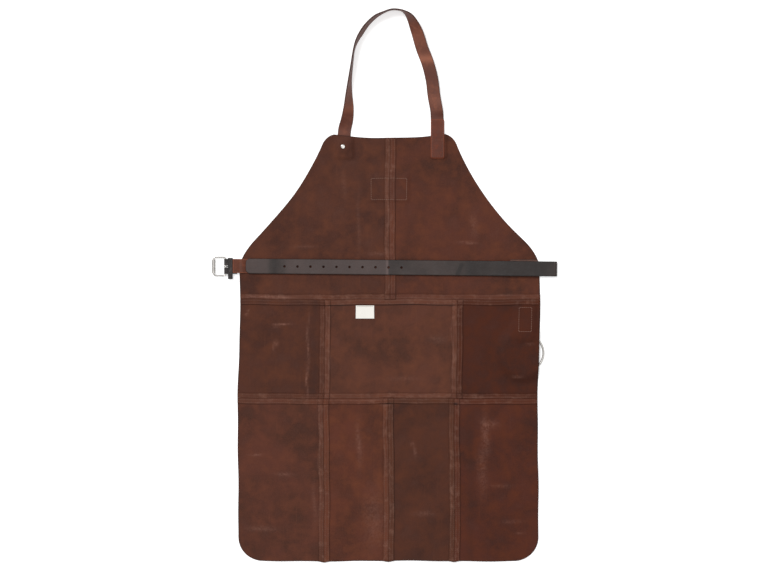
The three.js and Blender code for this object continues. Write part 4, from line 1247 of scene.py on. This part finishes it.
def belt_anchor_tab():
    """The brown tab that the belt's end is sewn to, lying on the hide."""
    low, high = ANCHOR_LOW, ANCHOR_HIGH
    y = (low[1] + high[1]) / 2
    middle = even_line([(low[0], y, LEATHER / 2), (high[0], y, LEATHER / 2)], 2, 3)

    def lie(x, y):
        """Underside of the tab, just off the hide."""
        return panel_lift(x, y) + LEATHER + GAP * 0.6

    piece = strap("anchor_tab_leather", middle, high[1] - low[1], LEATHER, STRAP_BROWN, face=(0, 0, 1),
                  lift=lie, round_start=3, round_end=3, flat_points=11)
    finish_piece(piece, "root", "belt_anchor_tab")
    box_stitches("anchor_tab_stitching", low, high, lambda x, y: lie(x, y) + LEATHER)


# ---- Buckle end ----
def buckle_tab_lift(x, y):
    """Underside of the brown tab: on the hide, then in a straight rise off its edge, over the buckle's
    strap."""
    edge_x, edge_level = -300.4, 5.14
    rise, run = 1.91, 11.6
    on_hide = panel_lift(np.maximum(x, edge_x + 1.6), BUCKLE_Y) + LEATHER + GAP
    free = edge_level + (FREE_TAB_LOW[0] + run - x) * rise / run
    return np.where(x > edge_x, np.minimum(on_hide, edge_level), free)


def buckle_tab():
    """The brown tab that carries the buckle, sewn on the hide and sticking out past its edge."""
    low, high = (FREE_TAB_LOW[0], SEWN_TAB_LOW[1]), SEWN_TAB_HIGH
    y = (low[1] + high[1]) / 2
    middle = even_line([(low[0], y, LEATHER / 2), (high[0], y, LEATHER / 2)], 1.5, 2)
    piece = strap("buckle_tab_leather", middle, high[1] - low[1], LEATHER, BUCKLE_TAB_BROWN, face=(0, 0, 1),
                  lift=buckle_tab_lift, round_start=1, round_end=3, flat_points=11)
    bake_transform(piece)
    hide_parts("buckle_tab_sewn", "buckle_tab_free")
    left, right = low[0] + 3, high[0] - 3
    level_rows = [((left, level), (right, level)) for level in (low[1] + 2.2, high[1] - 2.2)]
    cross_rows = [((x, low[1] + 3), (x, high[1] - 3)) for x in (high[0] - 2.4, -296)]
    rows = (*level_rows, *cross_rows)
    lines = [stitch_line(row, lambda x, y: buckle_tab_lift(x, y) + LEATHER) for row in rows]
    sewn = stitches("buckle_tab_stitching", lines)
    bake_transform(sewn)


def buckle_chape():
    """A black strap folded round the buckle's bar, its two layers touching, with a slot at the fold for the
    prong. Both layers run flat from the bar and then dip under the brown tab."""
    around, layer, width = 2.37, 1.28, 30
    flat_x, dip_x, end_x = -322, -312, -303.5
    flat_gap = 0.04
    lower, end_lower = 4.8, 3.4
    upper, end_upper = lower + layer + flat_gap, end_lower + layer + flat_gap
    turn = np.radians(np.linspace(-60, -270, 19))
    bend = [(BAR_X + around * math.cos(t), BUCKLE_Y, BUCKLE_Z + around * math.sin(t)) for t in turn]
    points = [(end_x, BUCKLE_Y, end_lower), (dip_x, BUCKLE_Y, lower), (flat_x, BUCKLE_Y, lower), *bend,
              (flat_x, BUCKLE_Y, upper), (dip_x, BUCKLE_Y, upper), (end_x, BUCKLE_Y, end_upper)]
    piece = strap("chape_leather", even_line(points, 0.9), width, layer, CHAPE_BLACK, across=(0, 1, 0),
                  flat_points=13)
    slot_half, slot_end_x, cut_corner, past_bend_x = 2.3, -317.8, 1.4, -340
    half_slot = np.array([(past_bend_x, slot_half), (slot_end_x - cut_corner, slot_half),
                          (slot_end_x, slot_half - cut_corner)])
    slot = np.concatenate([half_slot * (1, -1), half_slot[::-1]]) + (0, BUCKLE_Y)
    cut_away(piece, [upright_prism(slot, -2, 14)])
    finish_piece(piece, "buckle_end", "buckle_chape")


def round_rectangle(low, high, radius, corner_points):
    """A closed line round a rectangle with round corners, anticlockwise from its right side, in even steps of
    about a millimetre: a quarter circle about each corner's centre, and straight runs between."""
    line = []
    for side_x, side_y, start in ((1, 1, 0), (-1, 1, 90), (-1, -1, 180), (1, -1, 270)):
        centre_x = high[0] - radius if side_x > 0 else low[0] + radius
        centre_y = high[1] - radius if side_y > 0 else low[1] + radius
        for turn in np.radians(start + np.linspace(0, 90, corner_points)):
            line.append((centre_x + radius * math.cos(turn), centre_y + radius * math.sin(turn)))
    return even_line([*line, line[0]], 1.0)[:-1]


def belt_keeper():
    """A loop of narrow black strap, bent round flat with tight corners."""
    low, high = KEEPER_LOW, KEEPER_HIGH
    wall = 1.2
    outline = round_rectangle(low[1:] + wall / 2, high[1:] - wall / 2, 1.6, 6)
    line = np.insert(outline, 0, (low[0] + high[0]) / 2, axis=1)
    piece = strap("keeper_leather", line, high[0] - low[0], wall, CHAPE_BLACK, across=(1, 0, 0), closed=True,
                  flat_points=7)
    finish_piece(piece, "keeper", "belt_keeper")


def buckle_frame():
    """Wire bent to a rectangle with round corners, round the bar and the roller."""
    half_length = 18.3
    outline = round_rectangle((ROLLER_X, BUCKLE_Y - half_length), (BAR_X, BUCKLE_Y + half_length), 4.0, 8)
    line = np.insert(outline, 2, BUCKLE_Z, axis=1)
    finish_piece(wire_loop("buckle_wire", line, FRAME_WIRE_RADIUS, NICKEL), "buckle", "buckle_frame")


def tube_along_y(name, x, z, outer, inner, y0, y1, material, lip=0.35):
    """A tube lying along y with rounded lips, its outline carried round it and closed on itself."""
    outline = np.array([(inner, y0 + lip), (inner + lip, y0), (outer - lip, y0), (outer, y0 + lip),
                        (outer, y1 - lip), (outer - lip, y1), (inner + lip, y1), (inner, y1 - lip)])
    turn = np.arange(36) * math.tau / 36
    rings = np.stack([
        x + outline[None, :, 0] * np.cos(turn)[:, None],
        np.broadcast_to(outline[:, 1], (len(turn), len(outline))),
        z + outline[None, :, 0] * np.sin(turn)[:, None],
    ], axis=-1)
    piece = skin(name, rings, True)
    piece.data.materials.append(material)
    return piece


def buckle_roller():
    """A rolled tube, free to turn on the frame's outer side."""
    outer = 3.5
    piece = tube_along_y("roller_tube", ROLLER_X, BUCKLE_Z, outer, BUCKLE_BORE, ROLLER_LOW[1], ROLLER_HIGH[1],
                         NICKEL)
    finish_piece(piece, "roller", "buckle_roller")


def buckle_prong():
    """A flat-sided eye round the bar, and a shaft turned back under the buckle's strap. The shaft's radius
    falls evenly to its round tip, which is a quarter of an ellipse."""
    eye_radius, eye_half, length, below_bar = 3.85, 1.2, 27.5, 2.8
    eye = tube_along_y("prong_eye", BAR_X, BUCKLE_Z, eye_radius, BUCKLE_BORE, BUCKLE_Y - eye_half,
                       BUCKLE_Y + eye_half, NICKEL, 0.3)
    finish_piece(eye, "prong", "buckle_prong")
    along = np.linspace(0, 1, 24)
    x = BAR_X + 0.5 + length * along
    tip = 0.93
    into_tip = ((along - tip) / (1 - tip)).clip(0)
    radius = (1.1 - 0.25 * along) * np.sqrt(np.clip(1 - into_tip ** 2, 0.02, 1))
    turn = np.arange(14) * math.tau / 14
    rings = np.stack([
        np.broadcast_to(x[:, None], (len(along), len(turn))),
        BUCKLE_Y + radius[:, None] * np.cos(turn),
        BUCKLE_Z - below_bar - radius[:, None] * np.sin(turn),
    ], axis=-1)
    shaft = skin("prong_shaft", rings, False)
    shaft.data.materials.append(NICKEL)
    finish_piece(shaft, "prong")


seam_stitches()
badge_patch()
ring_loop()
towel_ring()
stud()
neck_strap()
neck_tab()
care_label()
belt()
belt_anchor_tab()
buckle_tab()
buckle_chape()
belt_keeper()
buckle_frame()
buckle_roller()
buckle_prong()


# ---- Light, floor and camera ----
def studio():
    """A big soft light from the upper left, a wide fill from above and a pale plain floor."""
    reach, depth = 6.0, -0.0004
    floor_mesh = bpy.data.meshes.new("floor")
    corners = [(-reach, -reach, depth), (reach, -reach, depth), (reach, reach, depth), (-reach, reach, depth)]
    floor_mesh.from_pydata(corners, [], [(0, 1, 2, 3)])
    floor = bpy.data.objects.new("floor", floor_mesh)
    bpy.context.scene.collection.objects.link(floor)
    paper, shader, _ = new_material("floor_white_paper")
    set_inputs(shader, {
        "Base Color": (0.93, 0.93, 0.93, 1.0),
        "Roughness": 0.9,
        "Emission Color": (1.0, 1.0, 1.0, 1.0),
        "Emission Strength": 0.35,
    })
    floor_mesh.materials.append(paper)
    world = bpy.data.worlds.new("studio")
    world.use_nodes = True
    background = next(n for n in world.node_tree.nodes if n.type == "BACKGROUND")
    set_inputs(background, {"Color": (1.0, 1.0, 1.0, 1.0), "Strength": 0.5})
    bpy.context.scene.world = world
    key = bpy.data.lights.new("key", "SUN")
    key.energy = 2.0
    key.angle = math.radians(24)
    key_lamp = bpy.data.objects.new("key", key)
    key_lamp.rotation_euler = (math.radians(38), 0.0, math.radians(222))
    fill = bpy.data.lights.new("fill", "AREA")
    fill.size = 3.0
    fill.energy = 45.0
    fill_lamp = bpy.data.objects.new("fill", fill)
    fill_lamp.location = (0.4, -0.2, 4.2)
    for lamp in (key_lamp, fill_lamp):
        bpy.context.scene.collection.objects.link(lamp)


CAMERA_HEIGHT = 8.0
VIEW_CENTRE = (-0.008, 0.123)
VIEW_WIDTH = 1.54


def camera():
    """A long lens straight above the apron."""
    data = bpy.data.cameras.new("camera")
    data.sensor_width = 36.0
    data.lens = 36.0 * CAMERA_HEIGHT / VIEW_WIDTH
    data.clip_end = 50.0
    eye = bpy.data.objects.new("camera", data)
    eye.location = (*VIEW_CENTRE, CAMERA_HEIGHT)
    bpy.context.scene.collection.objects.link(eye)
    bpy.context.scene.camera = eye


studio()
camera()
bpy.context.scene.view_settings.view_transform = "Standard"
